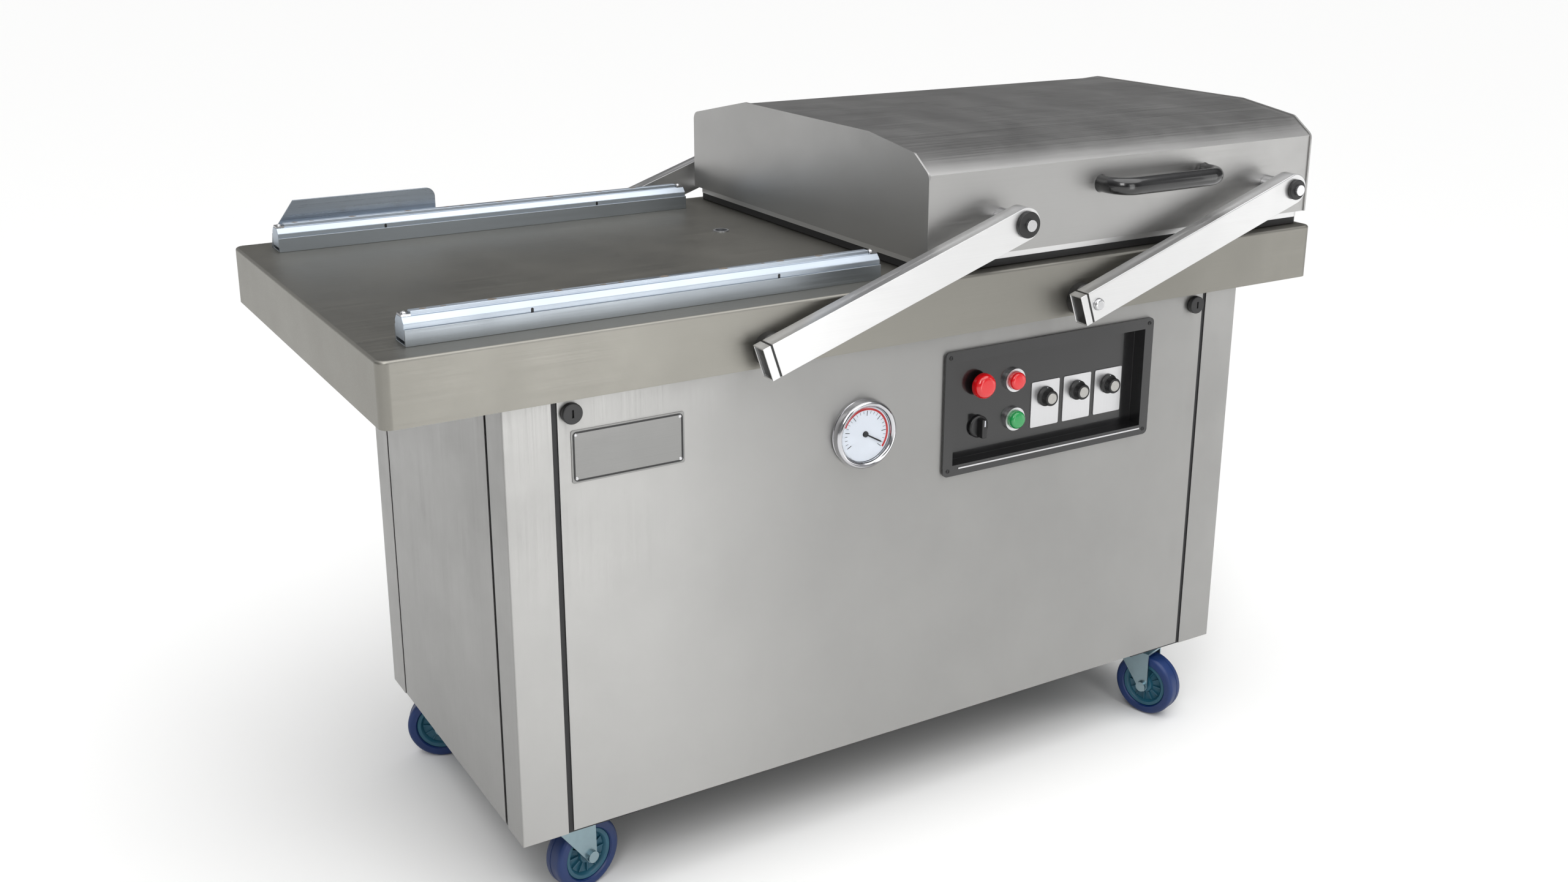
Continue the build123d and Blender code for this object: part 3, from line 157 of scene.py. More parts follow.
along = {"x": (5, 800, 800), "z": (800, 800, 5), "y": (800, 5, 800)}
finish = {
    "table": metal("tableSteel", (0.27, 0.262, 0.236), 0.42, along["x"], 0.16, 0.12),
    "cabinet": metal("cabinetSteel", (0.40, 0.397, 0.388), 0.44, along["z"], 0.16, 0.08,
                     brushed=0.8, turn=0.25),
    "lid": metal("lidSteel", (0.42, 0.417, 0.41), 0.38, along["x"], 0.14, 0.08),
    "arm": metal("armSteel", (0.68, 0.68, 0.68), 0.34, along["x"], 0.12, 0.08, brushed=0.5),
    "shaft": metal("shaftSteel", (0.60, 0.60, 0.61), 0.22, along["y"], 0.15),
    "thin": metal("thinSteel", (0.34, 0.38, 0.43), 0.28, along["x"], 0.15, 0.14),
    "spring": metal("springSteel", (0.33, 0.33, 0.35), 0.34, (60, 60, 60)),
    "pipe": metal("pipeMetal", (0.55, 0.56, 0.58), 0.35, (40, 40, 40)),
    "zinc": metal("zincPlate", (0.30, 0.40, 0.44), 0.32, (55, 55, 55), 0.3, 0.2, 0.12),
    "silver": metal("silverPlate", (0.66, 0.66, 0.67), 0.34, along["z"], 0.12),
    "brand": metal("blankPlate", (0.24, 0.24, 0.235), 0.36, along["x"], 0.2, 0.14),
    "chrome": metal("chromeRim", (0.55, 0.55, 0.57), 0.10, (30, 30, 30), 0.05, 0.04, 0.05),
    "bar": metal("barAluminium", (0.48, 0.535, 0.60), 0.42, along["x"], 0.2, 0.10, brushed=0.5),
    "channel": metal("channelAluminium", (0.34, 0.37, 0.40), 0.36, along["x"], 0.2, 0.10),
    "knob": metal("knobMetal", (0.46, 0.45, 0.43), 0.30, (300, 300, 300), 0.4, 0.15),
    "frame": moulded("blackFrame", (0.012, 0.012, 0.013), 0.55, 700, 0.3, 0.2),
    "gloss": moulded("glossBlack", (0.006, 0.006, 0.0065), 0.20, 1200, 0.08, 0.2, 0.5),
    "plastic": moulded("blackPlastic", (0.009, 0.009, 0.0095), 0.38, 1600, 0.3, 0.2),
    "rubber": moulded("blackRubber", (0.008, 0.008, 0.0085), 0.55, 900, 0.4, 0.25),
    "silicone": moulded("paleSilicone", (0.62, 0.58, 0.52), 0.55, 900, 0.2, 0.08),
    "red": moulded("redButton", (0.62, 0.006, 0.010), 0.22, 1500, 0.05, 0.06, 0.6),
    "green": moulded("greenButton", (0.006, 0.26, 0.06), 0.24, 1500, 0.05, 0.06, 0.6),
    "pump": moulded("pumpPaint", (0.12, 0.19, 0.26), 0.42, 500, 0.35, 0.15),
    "electric": moulded("electricParts", (0.34, 0.34, 0.31), 0.5, 600, 0.3, 0.12),
    "tyre": moulded("blueTyre", (0.002, 0.022, 0.11), 0.42, 700, 0.25, 0.22),
    "hub": moulded("tealHub", (0.014, 0.09, 0.14), 0.42, 700, 0.25, 0.2),
    "dial": moulded("dialFace", (0.78, 0.80, 0.84), 0.55, 900, 0.05, 0.03),
    "ink": moulded("dialInk", (0.01, 0.01, 0.012), 0.6, 900, 0.05),
    "redInk": moulded("redInk", (0.62, 0.02, 0.02), 0.55, 900, 0.05),
    "tape": moulded("ptfeTape", (0.18, 0.15, 0.12), 0.5, 1100, 0.5, 0.2),
}
print("materials made:", len(finish))


def glassMaterial():
    material, tree, shader = newMaterial("gaugeGlass")
    marks = noiseOf(tree, (60, 60, 60), detail=5)
    tree.links.new(rangeOf(tree, marks, 0.02, 0.06), shader.inputs["Roughness"])
    shader.inputs["Base Color"].default_value = (0.96, 0.98, 1.0, 1)
    shader.inputs["Transmission Weight"].default_value = 1.0
    shader.inputs["IOR"].default_value = 1.15
    return material


finish["glass"] = glassMaterial()

nodeFinish = {
    "deck_plate": "table", "corner_posts": "cabinet", "base_frame": "frame", "front_panel": "cabinet",
    "rear_panel": "cabinet", "side_panels": "cabinet", "control_box": "gloss", "control_trim": "silver",
    "gauge_case": "chrome", "gauge_glass": "glass", "nameplate": "brand", "shaft_bushes": "plastic",
    "balance_springs": "spring", "seal_bar_channels": "channel", "air_bags": "rubber",
    "bag_stop_plate": "thin",
    "vacuum_pump": "pump", "pump_motor": "pump", "vacuum_manifold": "pipe", "electrics_tray": "electric",
    "cable_gland": "plastic", "caster_plates": "zinc", "pivot_shaft_left": "shaft",
    "pivot_shaft_right": "shaft",
    "arm_front_left": "arm", "arm_rear_left": "arm", "arm_front_right": "arm", "arm_rear_right": "arm",
    "arm_caps_left": "plastic", "arm_caps_right": "plastic", "lid_shell": "lid", "lid_gasket": "rubber",
    "lid_handle": "gloss", "lid_pads": "silicone", "lid_pad_holders": "channel", "lid_pivot_bolts": "shaft",
    "lid_pivot_washers": "plastic", "emergency_stop": "red", "stop_button": "red", "start_button": "green",
    "selector_knob": "plastic", "timer_knob_1": "knob", "timer_knob_2": "knob", "timer_knob_3": "knob",
    "gauge_needle": "ink", "lock_left": "plastic", "lock_right": "plastic", "pump_fan": "plastic",
}
bevelWidths = {
    "deck_plate": 0.0012, "corner_posts": 0.0006, "lid_shell": 0.0012, "arm_front_left": 0.0015,
    "arm_rear_left": 0.0015,
    "arm_front_right": 0.0015, "arm_rear_right": 0.0015, "seal_bar_channels": 0.0006, "control_box": 0.0015,
    "lid_gasket": 0.003, "caster_plates": 0.0008, "lid_pivot_washers": 0.0015, "lid_pivot_bolts": 0.0012,
    "lock_left": 0.0005, "lock_right": 0.0005, "bag_stop_plate": 0.0005,
}


def dress(name, key):
    node = nodes[name]
    node.data.materials.clear()
    node.data.materials.append(finish[key])


def soften(name, width):
    node = nodes[name]
    weld = node.modifiers.new("weld", "WELD")
    weld.merge_threshold = 0.00002
    flat = node.modifiers.new("flat", "DECIMATE")     # joins the triangles of each flat face first
    flat.decimate_type = "DISSOLVE"
    flat.angle_limit = math.radians(0.4)
    bevel = node.modifiers.new("bevel", "BEVEL")
    bevel.width = width
    bevel.segments = 2
    bevel.limit_method = "ANGLE"
    bevel.angle_limit = math.radians(35)
    evened = node.modifiers.new("evened", "WEIGHTED_NORMAL")
    evened.weight = 100


for nodeName in nodes:
    if nodeName.startswith("seal_bar_") and nodeName != "seal_bar_channels":
        dress(nodeName, "bar")
        soften(nodeName, 0.0008)
    elif nodeName.startswith("caster_fork"):
        dress(nodeName, "zinc")
        soften(nodeName, 0.0007)
    elif nodeName.startswith("caster_wheel"):
        dress(nodeName, "tyre")
    else:
        dress(nodeName, nodeFinish[nodeName])
for nodeName, width in bevelWidths.items():
    soften(nodeName, width)
print("CAD nodes dressed")


# making new pieces

def addPiece(name, mesh, key, body, smooth=True):
    piece = bpy.data.objects.new(name, mesh)
    bpy.context.scene.collection.objects.link(piece)
    if key is not None:
        mesh.materials.append(finish[key])
    if smooth:
        mesh.shade_smooth()
        mesh.set_sharp_from_angle(angle=math.radians(35))
    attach(piece, body)
    return piece


def meshOf(name, build):
    mesh = bpy.data.meshes.new(name)
    bm = bmesh.new()
    build(bm)
    bmesh.ops.recalc_face_normals(bm, faces=bm.faces)
    bm.to_mesh(mesh)
    bm.free()
    return mesh


def lathe(bm, profile, place, segments=64, wave=None):
    rings = []
    for radius, height in profile:
        ring = []
        for i in range(segments):
            a = 2 * math.pi * i / segments
            r = radius + (wave(a, radius, height) if wave else 0)
            ring.append(bm.verts.new(place @ Vector((r * math.cos(a), r * math.sin(a), height))))
        rings.append(ring)
    for low, high in zip(rings, rings[1:]):
        for i in range(segments):
            j = (i + 1) % segments
            bm.faces.new((low[i], low[j], high[j], high[i]))
    return rings


def capped(bm, rings):
    for ring in (rings[0], rings[-1]):
        bm.faces.new(ring)


def arcPoints(centre, radius, start, end, steps):
    points = []
    for i in range(steps + 1):
        a = math.radians(start + (end - start) * i / steps)
        points.append((centre[0] + radius * math.cos(a), centre[1] + radius * math.sin(a)))
    return points


def facing(x, y, z, direction):
    return Matrix.Translation((x, y, z)) @ Vector(direction).to_track_quat("Z", "Y").to_matrix().to_4x4()


frontward = (0, -1, 0)


def boxShape(centre, size):
    return Matrix.Translation(centre) @ Matrix.Diagonal((*size, 1))

# studio

studio = {
    "floor": 60.0, "pale": (0.88, 0.88, 0.87), "backdrop": (0.90, 0.90, 0.89),
    "fill": 0.62, "sun": 2.0, "sunAngle": 70,
    # upright softboxes in front of the machine: place, size and power
    "upright": {
        "leftSoftbox": ((0.15, -2.1, 0.9), (0.6, 1.8), 9),
        "rightSoftbox": ((2.3, -1.7, 0.9), (0.6, 1.8), 4),
    },
    "bands": [(0.0, 0.30), (0.10, 0.50), (0.19, 0.15), (0.27, 0.20), (0.36, 0.80), (0.45, 0.25), (0.58, 0.10),
              (0.70, 0.14), (0.76, 0.55), (0.84, 0.95), (0.92, 0.45), (1.0, 0.30)],
}


def makeStudio():
    bpy.ops.mesh.primitive_plane_add(size=studio["floor"], location=(0, 0, -0.0005))
    floor = bpy.context.object
    floor.name = "studioFloor"
    material, tree, shader = newMaterial("studioFloorPaint")
    shader.inputs["Base Color"].default_value = (*studio["pale"], 1)
    shader.inputs["Roughness"].default_value = 0.9
    shader.inputs["Specular IOR Level"].default_value = 0.1
    floor.data.materials.append(material)
    world = bpy.data.worlds.new("softStudio")
    bpy.context.scene.world = world
    world.use_nodes = True
    tree = world.node_tree
    back = tree.nodes["Background"]
    back.inputs["Strength"].default_value = studio["fill"]
    coords = tree.nodes.new("ShaderNodeTexCoord")
    around = tree.nodes.new("ShaderNodeTexGradient")
    around.gradient_type = "RADIAL"     # soft upright boxes and dark gaps all round the room
    tree.links.new(coords.outputs["Generated"], around.inputs["Vector"])
    boxes = tree.nodes.new("ShaderNodeValToRGB")
    boxes.color_ramp.interpolation = "EASE"
    stops = boxes.color_ramp.elements
    for place, level in studio["bands"][1:-1]:
        stops.new(place)
    for stop, (place, level) in zip(stops, studio["bands"]):
        stop.position = place
        stop.color = (level, level, level * 1.01, 1)
    tree.links.new(around.outputs["Fac"], boxes.inputs["Fac"])
    split = tree.nodes.new("ShaderNodeSeparateXYZ")
    tree.links.new(coords.outputs["Generated"], split.inputs[0])
    roof = rampOf(tree, split.outputs["Z"], 0.45, 0.95, (0, 0, 0), (0.9, 0.9, 0.92))
    room = mixOf(tree, "ADD", 1.0, boxes.outputs["Color"], roof)
    tree.links.new(room, back.inputs["Color"])
    plain = tree.nodes.new("ShaderNodeBackground")
    plain.inputs["Color"].default_value = (*studio["backdrop"], 1)
    seen = tree.nodes.new("ShaderNodeLightPath")
    either = tree.nodes.new("ShaderNodeMixShader")
    tree.links.new(seen.outputs["Is Camera Ray"], either.inputs["Fac"])
    tree.links.new(back.outputs["Background"], either.inputs[1])
    tree.links.new(plain.outputs["Background"], either.inputs[2])
    tree.links.new(either.outputs["Shader"], tree.nodes["World Output"].inputs["Surface"])
    bpy.context.scene.view_settings.view_transform = "Standard"


def addSun(direction):
    light = bpy.data.lights.new("softSun", "SUN")
    light.energy = studio["sun"]
    light.angle = math.radians(studio["sunAngle"])
    lamp = bpy.data.objects.new("softSun", light)
    bpy.context.scene.collection.objects.link(lamp)
    lamp.rotation_euler = Vector(direction).to_track_quat("-Z", "Y").to_euler()


def addLight(name, place, target, size, power):
    light = bpy.data.lights.new(name, "AREA")
    light.shape = "RECTANGLE"
    light.size, light.size_y = size
    light.energy = power
    lamp = bpy.data.objects.new(name, light)
    bpy.context.scene.collection.objects.link(lamp)
    lamp.location = place
    lamp.rotation_euler = (Vector(target) - Vector(place)).to_track_quat("-Z", "Y").to_euler()
    lamp.visible_camera = False


makeStudio()
addSun((-0.10, 0.22, -1))
addLight("keySoftbox", (-2.6, -3.2, 3.4), (0, 0, 0.6), (1.2, 2.4), 60)
for lightName, (boxPlace, boxSize, power) in studio["upright"].items():
    addLight(lightName, boxPlace, (boxPlace[0] * 0.2, 0, 0.5), boxSize, power)

cameraView = {
    "place": (-1.2037, -2.0013, 1.2809), "yaw": 31.0, "pitch": 16.83, "roll": 0.15,
    "lens": 36.77, "shiftX": -0.0039, "shiftY": -0.0469,
}


def makeCamera():
    yaw, pitch, roll = (math.radians(cameraView[k]) for k in ("yaw", "pitch", "roll"))
    ahead = Vector((math.sin(yaw) * math.cos(pitch), math.cos(yaw) * math.cos(pitch), -math.sin(pitch)))
    right = Vector((math.cos(yaw), -math.sin(yaw), 0))
    up = right.cross(ahead)
    tiltedRight = right * math.cos(roll) + up * math.sin(roll)
    tiltedUp = up * math.cos(roll) - right * math.sin(roll)
    camera = bpy.data.objects.new("mainCamera", bpy.data.cameras.new("mainCamera"))
    bpy.context.scene.collection.objects.link(camera)
    turn = Matrix((tiltedRight, tiltedUp, -ahead)).transposed().to_4x4()
    camera.matrix_world = Matrix.Translation(cameraView["place"]) @ turn
    camera.data.sensor_width = 36
    camera.data.lens = cameraView["lens"]
    camera.data.shift_x = cameraView["shiftX"]
    camera.data.shift_y = cameraView["shiftY"]
    camera.data.clip_end = 100
    bpy.context.scene.camera = camera


makeCamera()
print("studio and camera ready")

# lid handle: one thick bow with an oval grip and flared feet

handle = {"oval": 1.12, "cornerSteps": 10, "sides": 28, "flare": 0.0015, "cornerRadius": 0.030}


def makeHandle():
    low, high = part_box("lid_handle")
    z = (low.z + high.z) / 2
    thick = (high.z - low.z) / 2
    wall, out = high.y, low.y + thick
    left, right = low.x + thick * 0.75, high.x - thick * 0.75
    r = handle["cornerRadius"]
    path = [(left, wall), (left, wall - 0.004)]
    path += arcPoints((left + r, out + r), r, 180, 270, handle["cornerSteps"])
    path += [(left + (right - left) * t, out) for t in (0.3, 0.4, 0.5, 0.6, 0.7)]
    path += arcPoints((right - r, out + r), r, 270, 360, handle["cornerSteps"])
    path += [(right, wall - 0.004), (right, wall)]

    def build(bm):
        rings = []
        for i, (x, y) in enumerate(path):
            before, after = path[max(i - 1, 0)], path[min(i + 1, len(path) - 1)]
            ahead = Vector((after[0] - before[0], after[1] - before[1], 0)).normalized()
            side = ahead.cross(Vector((0, 0, 1)))
            foot = handle["flare"] if i in (0, len(path) - 1) else 0
            mid = 1 - abs(i / (len(path) - 1) - 0.5) * 2
            grip = thick * (0.90 + 0.10 * mid) + foot
            ring = []
            for k in range(handle["sides"]):
                a = 2 * math.pi * k / handle["sides"]
                offset = side * math.cos(a) * grip / handle["oval"]
                offset = offset + Vector((0, 0, math.sin(a) * grip * 0.98))
                ring.append(bm.verts.new(Vector((x, y, z)) + offset))
            rings.append(ring)
        for a, b in zip(rings, rings[1:]):
            for k in range(handle["sides"]):
                n = (k + 1) % handle["sides"]
                bm.faces.new((a[k], a[n], b[n], b[k]))
        capped(bm, rings)

    piece = addPiece("lidHandle", meshOf("lidHandle", build), "gloss", "lid")
    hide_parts("lid_handle")


# caster wheels: lathed tyre with a moulded tread, and a dished hub with ribs

wheel = {"segments": 96, "hubShare": 0.72, "treadDip": 0.0006, "ribs": 12}


def makeWheel(corner):
    name = "caster_wheel_" + corner
    joint = next(j for j in frame["joints"] if j["child"] == name)
    axis = Vector(joint["axis"])
    centre = Vector(joint["pos_m"])
    low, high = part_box(name)
    radius = (high.z - low.z) / 2
    half = 0.016
    place = Matrix.Translation(centre) @ axis.to_track_quat("Z", "Y").to_matrix().to_4x4()
    hubRadius = radius * wheel["hubShare"]
    shoulder = 0.006

    def tread(a, r, h):
        return -wheel["treadDip"] * (1 if abs(h) < 0.0045 and r > radius * 0.97 else 0)

    side = [(hubRadius, half - 0.002), (hubRadius + 0.0015, half), (radius - shoulder - 0.002, half)]
    crown = arcPoints((radius - shoulder, half - shoulder), shoulder, 90, 0, 6)
    across = [(radius, 0.006), (radius, 0.0046), (radius, 0.0044), (radius, 0.0)]
    halfProfile = side + [(x, y) for x, y in crown] + across
    profile = halfProfile + [(r, -h) for r, h in reversed(halfProfile[:-1])]

    def buildTyre(bm):
        rings = lathe(bm, profile, place, wheel["segments"], tread)
        for i in range(wheel["segments"]):
            j = (i + 1) % wheel["segments"]
            bm.faces.new((rings[-1][i], rings[-1][j], rings[0][j], rings[0][i]))

    cornerName = corner.title().replace("_", "")
    tyre = addPiece("tyre" + cornerName, meshOf("tyre", buildTyre), "tyre", name)
    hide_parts(name)

    bore = 0.0051
    face = [
        (bore, 0.013), (0.011, 0.013), (0.0125, 0.0125), (0.0132, 0.010), (0.014, 0.0075), (0.018, 0.0068),
        (0.025, 0.0068), (0.0275, 0.0080), (0.0290, 0.0118), (0.0305, 0.0132), (hubRadius - 0.001, 0.0136),
        (hubRadius - 0.0002, 0.0128),
    ]
    hubProfile = face + [(r, -h) for r, h in reversed(face)]

    def buildHub(bm):
        rings = lathe(bm, hubProfile, place, wheel["segments"])
        for i in range(wheel["segments"]):
            j = (i + 1) % wheel["segments"]
            bm.faces.new((rings[-1][i], rings[-1][j], rings[0][j], rings[0][i]))
        for side in (1, -1):
            for i in range(wheel["ribs"]):
                turn = Matrix.Rotation(2 * math.pi * i / wheel["ribs"], 4, "Z")
                made = bmesh.ops.create_cube(bm, size=1)["verts"]
                shape = boxShape((0.0208, 0, side * 0.0082), (0.0130, 0.0016, 0.0036))
                bmesh.ops.transform(bm, matrix=place @ turn @ shape, verts=made)

    addPiece("hub" + cornerName, meshOf("hub", buildHub), "hub", name)


# push buttons: domed caps with a rolled edge and a collar line

button = {"segments": 64}


def makeButton(name, key, dome):
    low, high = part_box(name)
    x, z = (low.x + high.x) / 2, (low.z + high.z) / 2
    radius = (high.x - low.x) / 2
    depth = high.y - low.y
    place = facing(x, high.y, z, frontward)
    stem = 0.0078 if dome else radius
    headBack = 0.0150 if dome else 0.0005

    def build(bm):
        profile = [(0.0001, 0), (stem * 0.96, 0), (stem, 0.0006), (stem, headBack)]
        if dome:
            profile += [(radius * 0.93, headBack), (radius, headBack + 0.0012), (radius, headBack + 0.0035)]
            profile += arcPoints((radius - 0.0095, depth - 0.0095), 0.0095, 0, 72, 9)
        else:
            profile += [(radius, depth - 0.0058)]
            profile += arcPoints((radius - 0.0052, depth - 0.0058), 0.0052, 0, 70, 8)
        crown = profile[-1]
        for t in (0.75, 0.5, 0.25):
            profile.append((crown[0] * t, depth - (depth - crown[1]) * t * t))
        profile.append((0.0001, depth))
        capped(bm, lathe(bm, profile, place, button["segments"]))

    piece = addPiece(name.title().replace("_", "") + "Cap", meshOf(name, build), key, name)
    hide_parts(name)


# timer knobs: knurled skirt, turned cap and an index line

timer = {"teeth": 40, "tooth": 0.00035, "segments": 160}


def makeTimerKnob(number):
    name = "timer_knob_" + str(number)
    low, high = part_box(name)
    x, z = (low.x + high.x) / 2, (low.z + high.z) / 2
    radius = (high.x - low.x) / 2
    depth = high.y - low.y
    base = depth - 0.0160
    place = facing(x, high.y, z, frontward)

    def knurl(a, r, h):
        gripping = base + 0.0055 < h < depth - 0.0015 and r > radius * 0.7
        return timer["tooth"] * math.cos(a * timer["teeth"]) if gripping else 0

    def build(bm):
        cap = radius * 0.78
        profile = [
            (0.0001, 0), (0.0030, 0), (0.0030, base), (radius * 0.96, base), (radius, base + 0.0008),
            (radius, base + 0.0030), (radius * 0.94, base + 0.0042), (cap + 0.0006, base + 0.0050),
            (cap, base + 0.0060), (cap - 0.0002, depth - 0.0020), (cap - 0.0009, depth - 0.0006),
            (cap - 0.0020, depth), (cap - 0.0030, depth - 0.0006), (0.0001, depth - 0.0006),
        ]
        capped(bm, lathe(bm, profile, place, timer["segments"], knurl))

    knob = addPiece("timerKnobBody" + str(number), meshOf(name, build), "plastic", name)
    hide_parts(name)

    def buildCap(bm):
        top = depth - 0.0005
        capR = radius * 0.78 - 0.0034
        capped(bm, lathe(bm, [(0.0001, top - 0.0004), (capR, top - 0.0004), (capR, top),
                              (capR - 0.0005, top + 0.0004),
                              (0.0001, top + 0.0004)], place, timer["segments"]))

    addPiece("timerKnobInlay" + str(number), meshOf(name + "Inlay", buildCap), "knob", name)

    def buildIndex(bm):
        made = bmesh.ops.create_cube(bm, size=1)["verts"]
        shape = boxShape((0, radius * 0.86, base + 0.0038), (0.0012, radius * 0.2, 0.0012))
        bmesh.ops.transform(bm, matrix=place @ shape, verts=made)

    addPiece("timerKnobIndex" + str(number), meshOf(name + "Index", buildIndex), "dial", name)


# selector: round base and a winged grip with a white index

selector = {"wing": 0.0043, "segments": 64}


def makeSelector():
    name = "selector_knob"
    low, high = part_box(name)
    x, z = (low.x + high.x) / 2, (low.z + high.z) / 2
    radius = (high.x - low.x) / 2
    depth = high.y - low.y
    place = facing(x, high.y, z, frontward)
    base = depth - 0.0177

    def build(bm):
        profile = [(0.0001, 0), (0.0078, 0), (0.0078, base), (radius * 0.97, base), (radius, base + 0.0008),
                   (radius, base + 0.0036), (radius - 0.0012, base + 0.0050), (radius * 0.8, base + 0.0058),
                   (0.0001, base + 0.0058)]
        capped(bm, lathe(bm, profile, place, selector["segments"]))
        made = bmesh.ops.create_cube(bm, size=1)
        shape = boxShape((0, 0, base + 0.0110), (selector["wing"] * 2, radius * 1.72, 0.0130))
        bmesh.ops.transform(bm, matrix=place @ shape, verts=made["verts"])
        edges = {e for v in made["verts"] for e in v.link_edges}
        bmesh.ops.bevel(bm, geom=list(edges), offset=0.0024, segments=4, profile=0.6, affect="EDGES")

    knob = addPiece("selectorGrip", meshOf(name, build), "plastic", name)
    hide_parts(name)

    def buildIndex(bm):
        made = bmesh.ops.create_cube(bm, size=1)["verts"]
        shape = boxShape((0, radius * 0.5, base + 0.0172), (0.0014, radius * 0.55, 0.0009))
        bmesh.ops.transform(bm, matrix=place @ shape, verts=made)

    addPiece("selectorIndex", meshOf("selectorIndex", buildIndex), "dial", name)


# vacuum gauge: rolled bezel, dial with ticks and a red band

gauge = {"ticks": 25, "startAngle": -30, "sweep": 250, "bezelSegments": 128}


def makeGauge():
    low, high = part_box("gauge_case")
    x, z = (low.x + high.x) / 2, (low.z + high.z) / 2
    radius = (high.x - low.x) / 2
    front = low.y
    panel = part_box("front_panel")[0].y
    depth = panel - front
    place = facing(x, panel, z, frontward)
    inner = radius * 0.82

    def build(bm):
        profile = [
            (inner, depth - 0.0075), (inner, depth - 0.0042), (inner + 0.0014, depth - 0.0016),
            (inner + 0.0032, depth - 0.0004),
            (inner + 0.0046, depth), (radius - 0.0028, depth - 0.0006), (radius - 0.0008, depth - 0.0024),
            (radius, depth - 0.0052), (radius, 0.0032), (radius - 0.0012, 0.0022), (radius - 0.0016, 0.0004),
            (radius - 0.0008, 0),
            (inner, 0), (inner, 0.002),
        ]
        rings = lathe(bm, profile, place, gauge["bezelSegments"])
        for i in range(gauge["bezelSegments"]):
            j = (i + 1) % gauge["bezelSegments"]
            bm.faces.new((rings[-1][i], rings[-1][j], rings[0][j], rings[0][i]))

    bezel = addPiece("gaugeBezel", meshOf("gaugeBezel", build), "chrome", "root")
    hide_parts("gauge_case")

    def buildCase(bm):
        capped(bm, lathe(bm, [(0.0001, -0.030), (0.030, -0.030), (0.033, -0.028), (0.0335, -0.001),
                              (inner - 0.0006, 0.0004),
                              (inner - 0.0006, depth - 0.0075), (0.0021, depth - 0.0075),
                              (0.0021, depth - 0.013),
                              (0.0001, depth - 0.013)], place, 96))

    addPiece("gaugeDial", meshOf("gaugeDial", buildCase), "dial", "root")
    face = depth - 0.0074

    def strip(bm, angle, r0, r1, width, lift=0.00025):
        made = bmesh.ops.create_cube(bm, size=1)["verts"]
        shape = boxShape(((r0 + r1) / 2, 0, face + lift / 2), (r1 - r0, width, lift))
        bmesh.ops.transform(bm, matrix=place @ Matrix.Rotation(angle, 4, "Z") @ shape, verts=made)

    def angleAt(share):
        return -math.radians(gauge["startAngle"] + gauge["sweep"] * share) + math.pi

    def buildTicks(bm):
        for i in range(gauge["ticks"]):
            long = i % 4 == 0
            near, thick = (0.66, 0.0008) if long else (0.74, 0.0004)
            strip(bm, angleAt(i / (gauge["ticks"] - 1)), inner * near, inner * 0.84, thick)
        capped(bm, lathe(bm, [(0.0021, face), (0.0042, face), (0.0042, face + 0.0002),
                         (0.0021, face + 0.0002)], place, 32))

    addPiece("gaugeTicks", meshOf("gaugeTicks", buildTicks), "ink", "root", smooth=False)

    def buildBand(bm):
        steps = 60
        for i in range(steps):
            share = 0.22 + 0.78 * i / steps
            width = inner * 0.93 * math.radians(gauge["sweep"]) * 0.78 / steps * 1.15
            strip(bm, angleAt(share), inner * 0.86, inner * 0.93, width)

    addPiece("gaugeRedBand", meshOf("gaugeRedBand", buildBand), "redInk", "root", smooth=False)


# screws and rivets

screw = {"segments": 32, "lift": 0.0016}


def screwHead(bm, x, y, z, direction, radius, lift):
    place = facing(x, y, z, direction)
    profile = [(radius, 0), (radius * 0.98, lift * 0.4), (radius * 0.8, lift * 0.8), (radius * 0.45, lift),
               (radius * 0.38, lift * 0.55), (0.0001, lift * 0.5)]
    capped(bm, lathe(bm, profile, place, screw["segments"]))


def makeScrews():
    low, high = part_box("control_box")
    inset = 0.0085

    def buildBox(bm):
        for x in (low.x + inset, high.x - inset):
            for z in (low.z + inset, high.z - inset):
                screwHead(bm, x, low.y, z, frontward, 0.0030, screw["lift"])

    addPiece("controlBoxScrews", meshOf("controlBoxScrews", buildBox), "plastic", "root")
    low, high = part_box("nameplate")

    def buildPlate(bm):
        for x in (low.x + 0.006, high.x - 0.006):
            for z in (low.z + 0.006, high.z - 0.006):
                screwHead(bm, x, low.y, z, frontward, 0.0022, 0.0010)

    addPiece("nameplateRivets", meshOf("nameplateRivets", buildPlate), "silver", "root")
    margin, width, lift = 0.0022, 0.0020, 0.0006

    def buildBorder(bm):
        x0, x1, z0, z1 = low.x + margin, high.x - margin, low.z + margin, high.z - margin
        rings = []
        outer, inside = low.y - lift, low.y + 0.0002
        for step, y in ((0, inside), (0, outer), (width, outer), (width, inside)):
            r = 0.005 - step * 0.6
            ring = []
            for cx, cz, start in ((x1 - 0.005, z1 - 0.005, 0), (x0 + 0.005, z1 - 0.005, 90),
                                  (x0 + 0.005, z0 + 0.005, 180), (x1 - 0.005, z0 + 0.005, 270)):
                cx += -step * 0.4 if cx > (x0 + x1) / 2 else step * 0.4
                cz += -step * 0.4 if cz > (z0 + z1) / 2 else step * 0.4
                ring += [bm.verts.new((px, y, pz)) for px, pz in arcPoints((cx, cz), r, start, start + 90, 6)]
            rings.append(ring)
        for a, b in zip(rings, rings[1:] + rings[:1]):
            for i in range(len(a)):
                j = (i + 1) % len(a)
                bm.faces.new((a[i], a[j], b[j], b[i]))

    addPiece("nameplateBorder", meshOf("nameplateBorder", buildBorder), "plastic", "root")


# seal bars: heating band under a woven tape, end clamps with screws

sealing = {"tapeWidth": 0.0085}


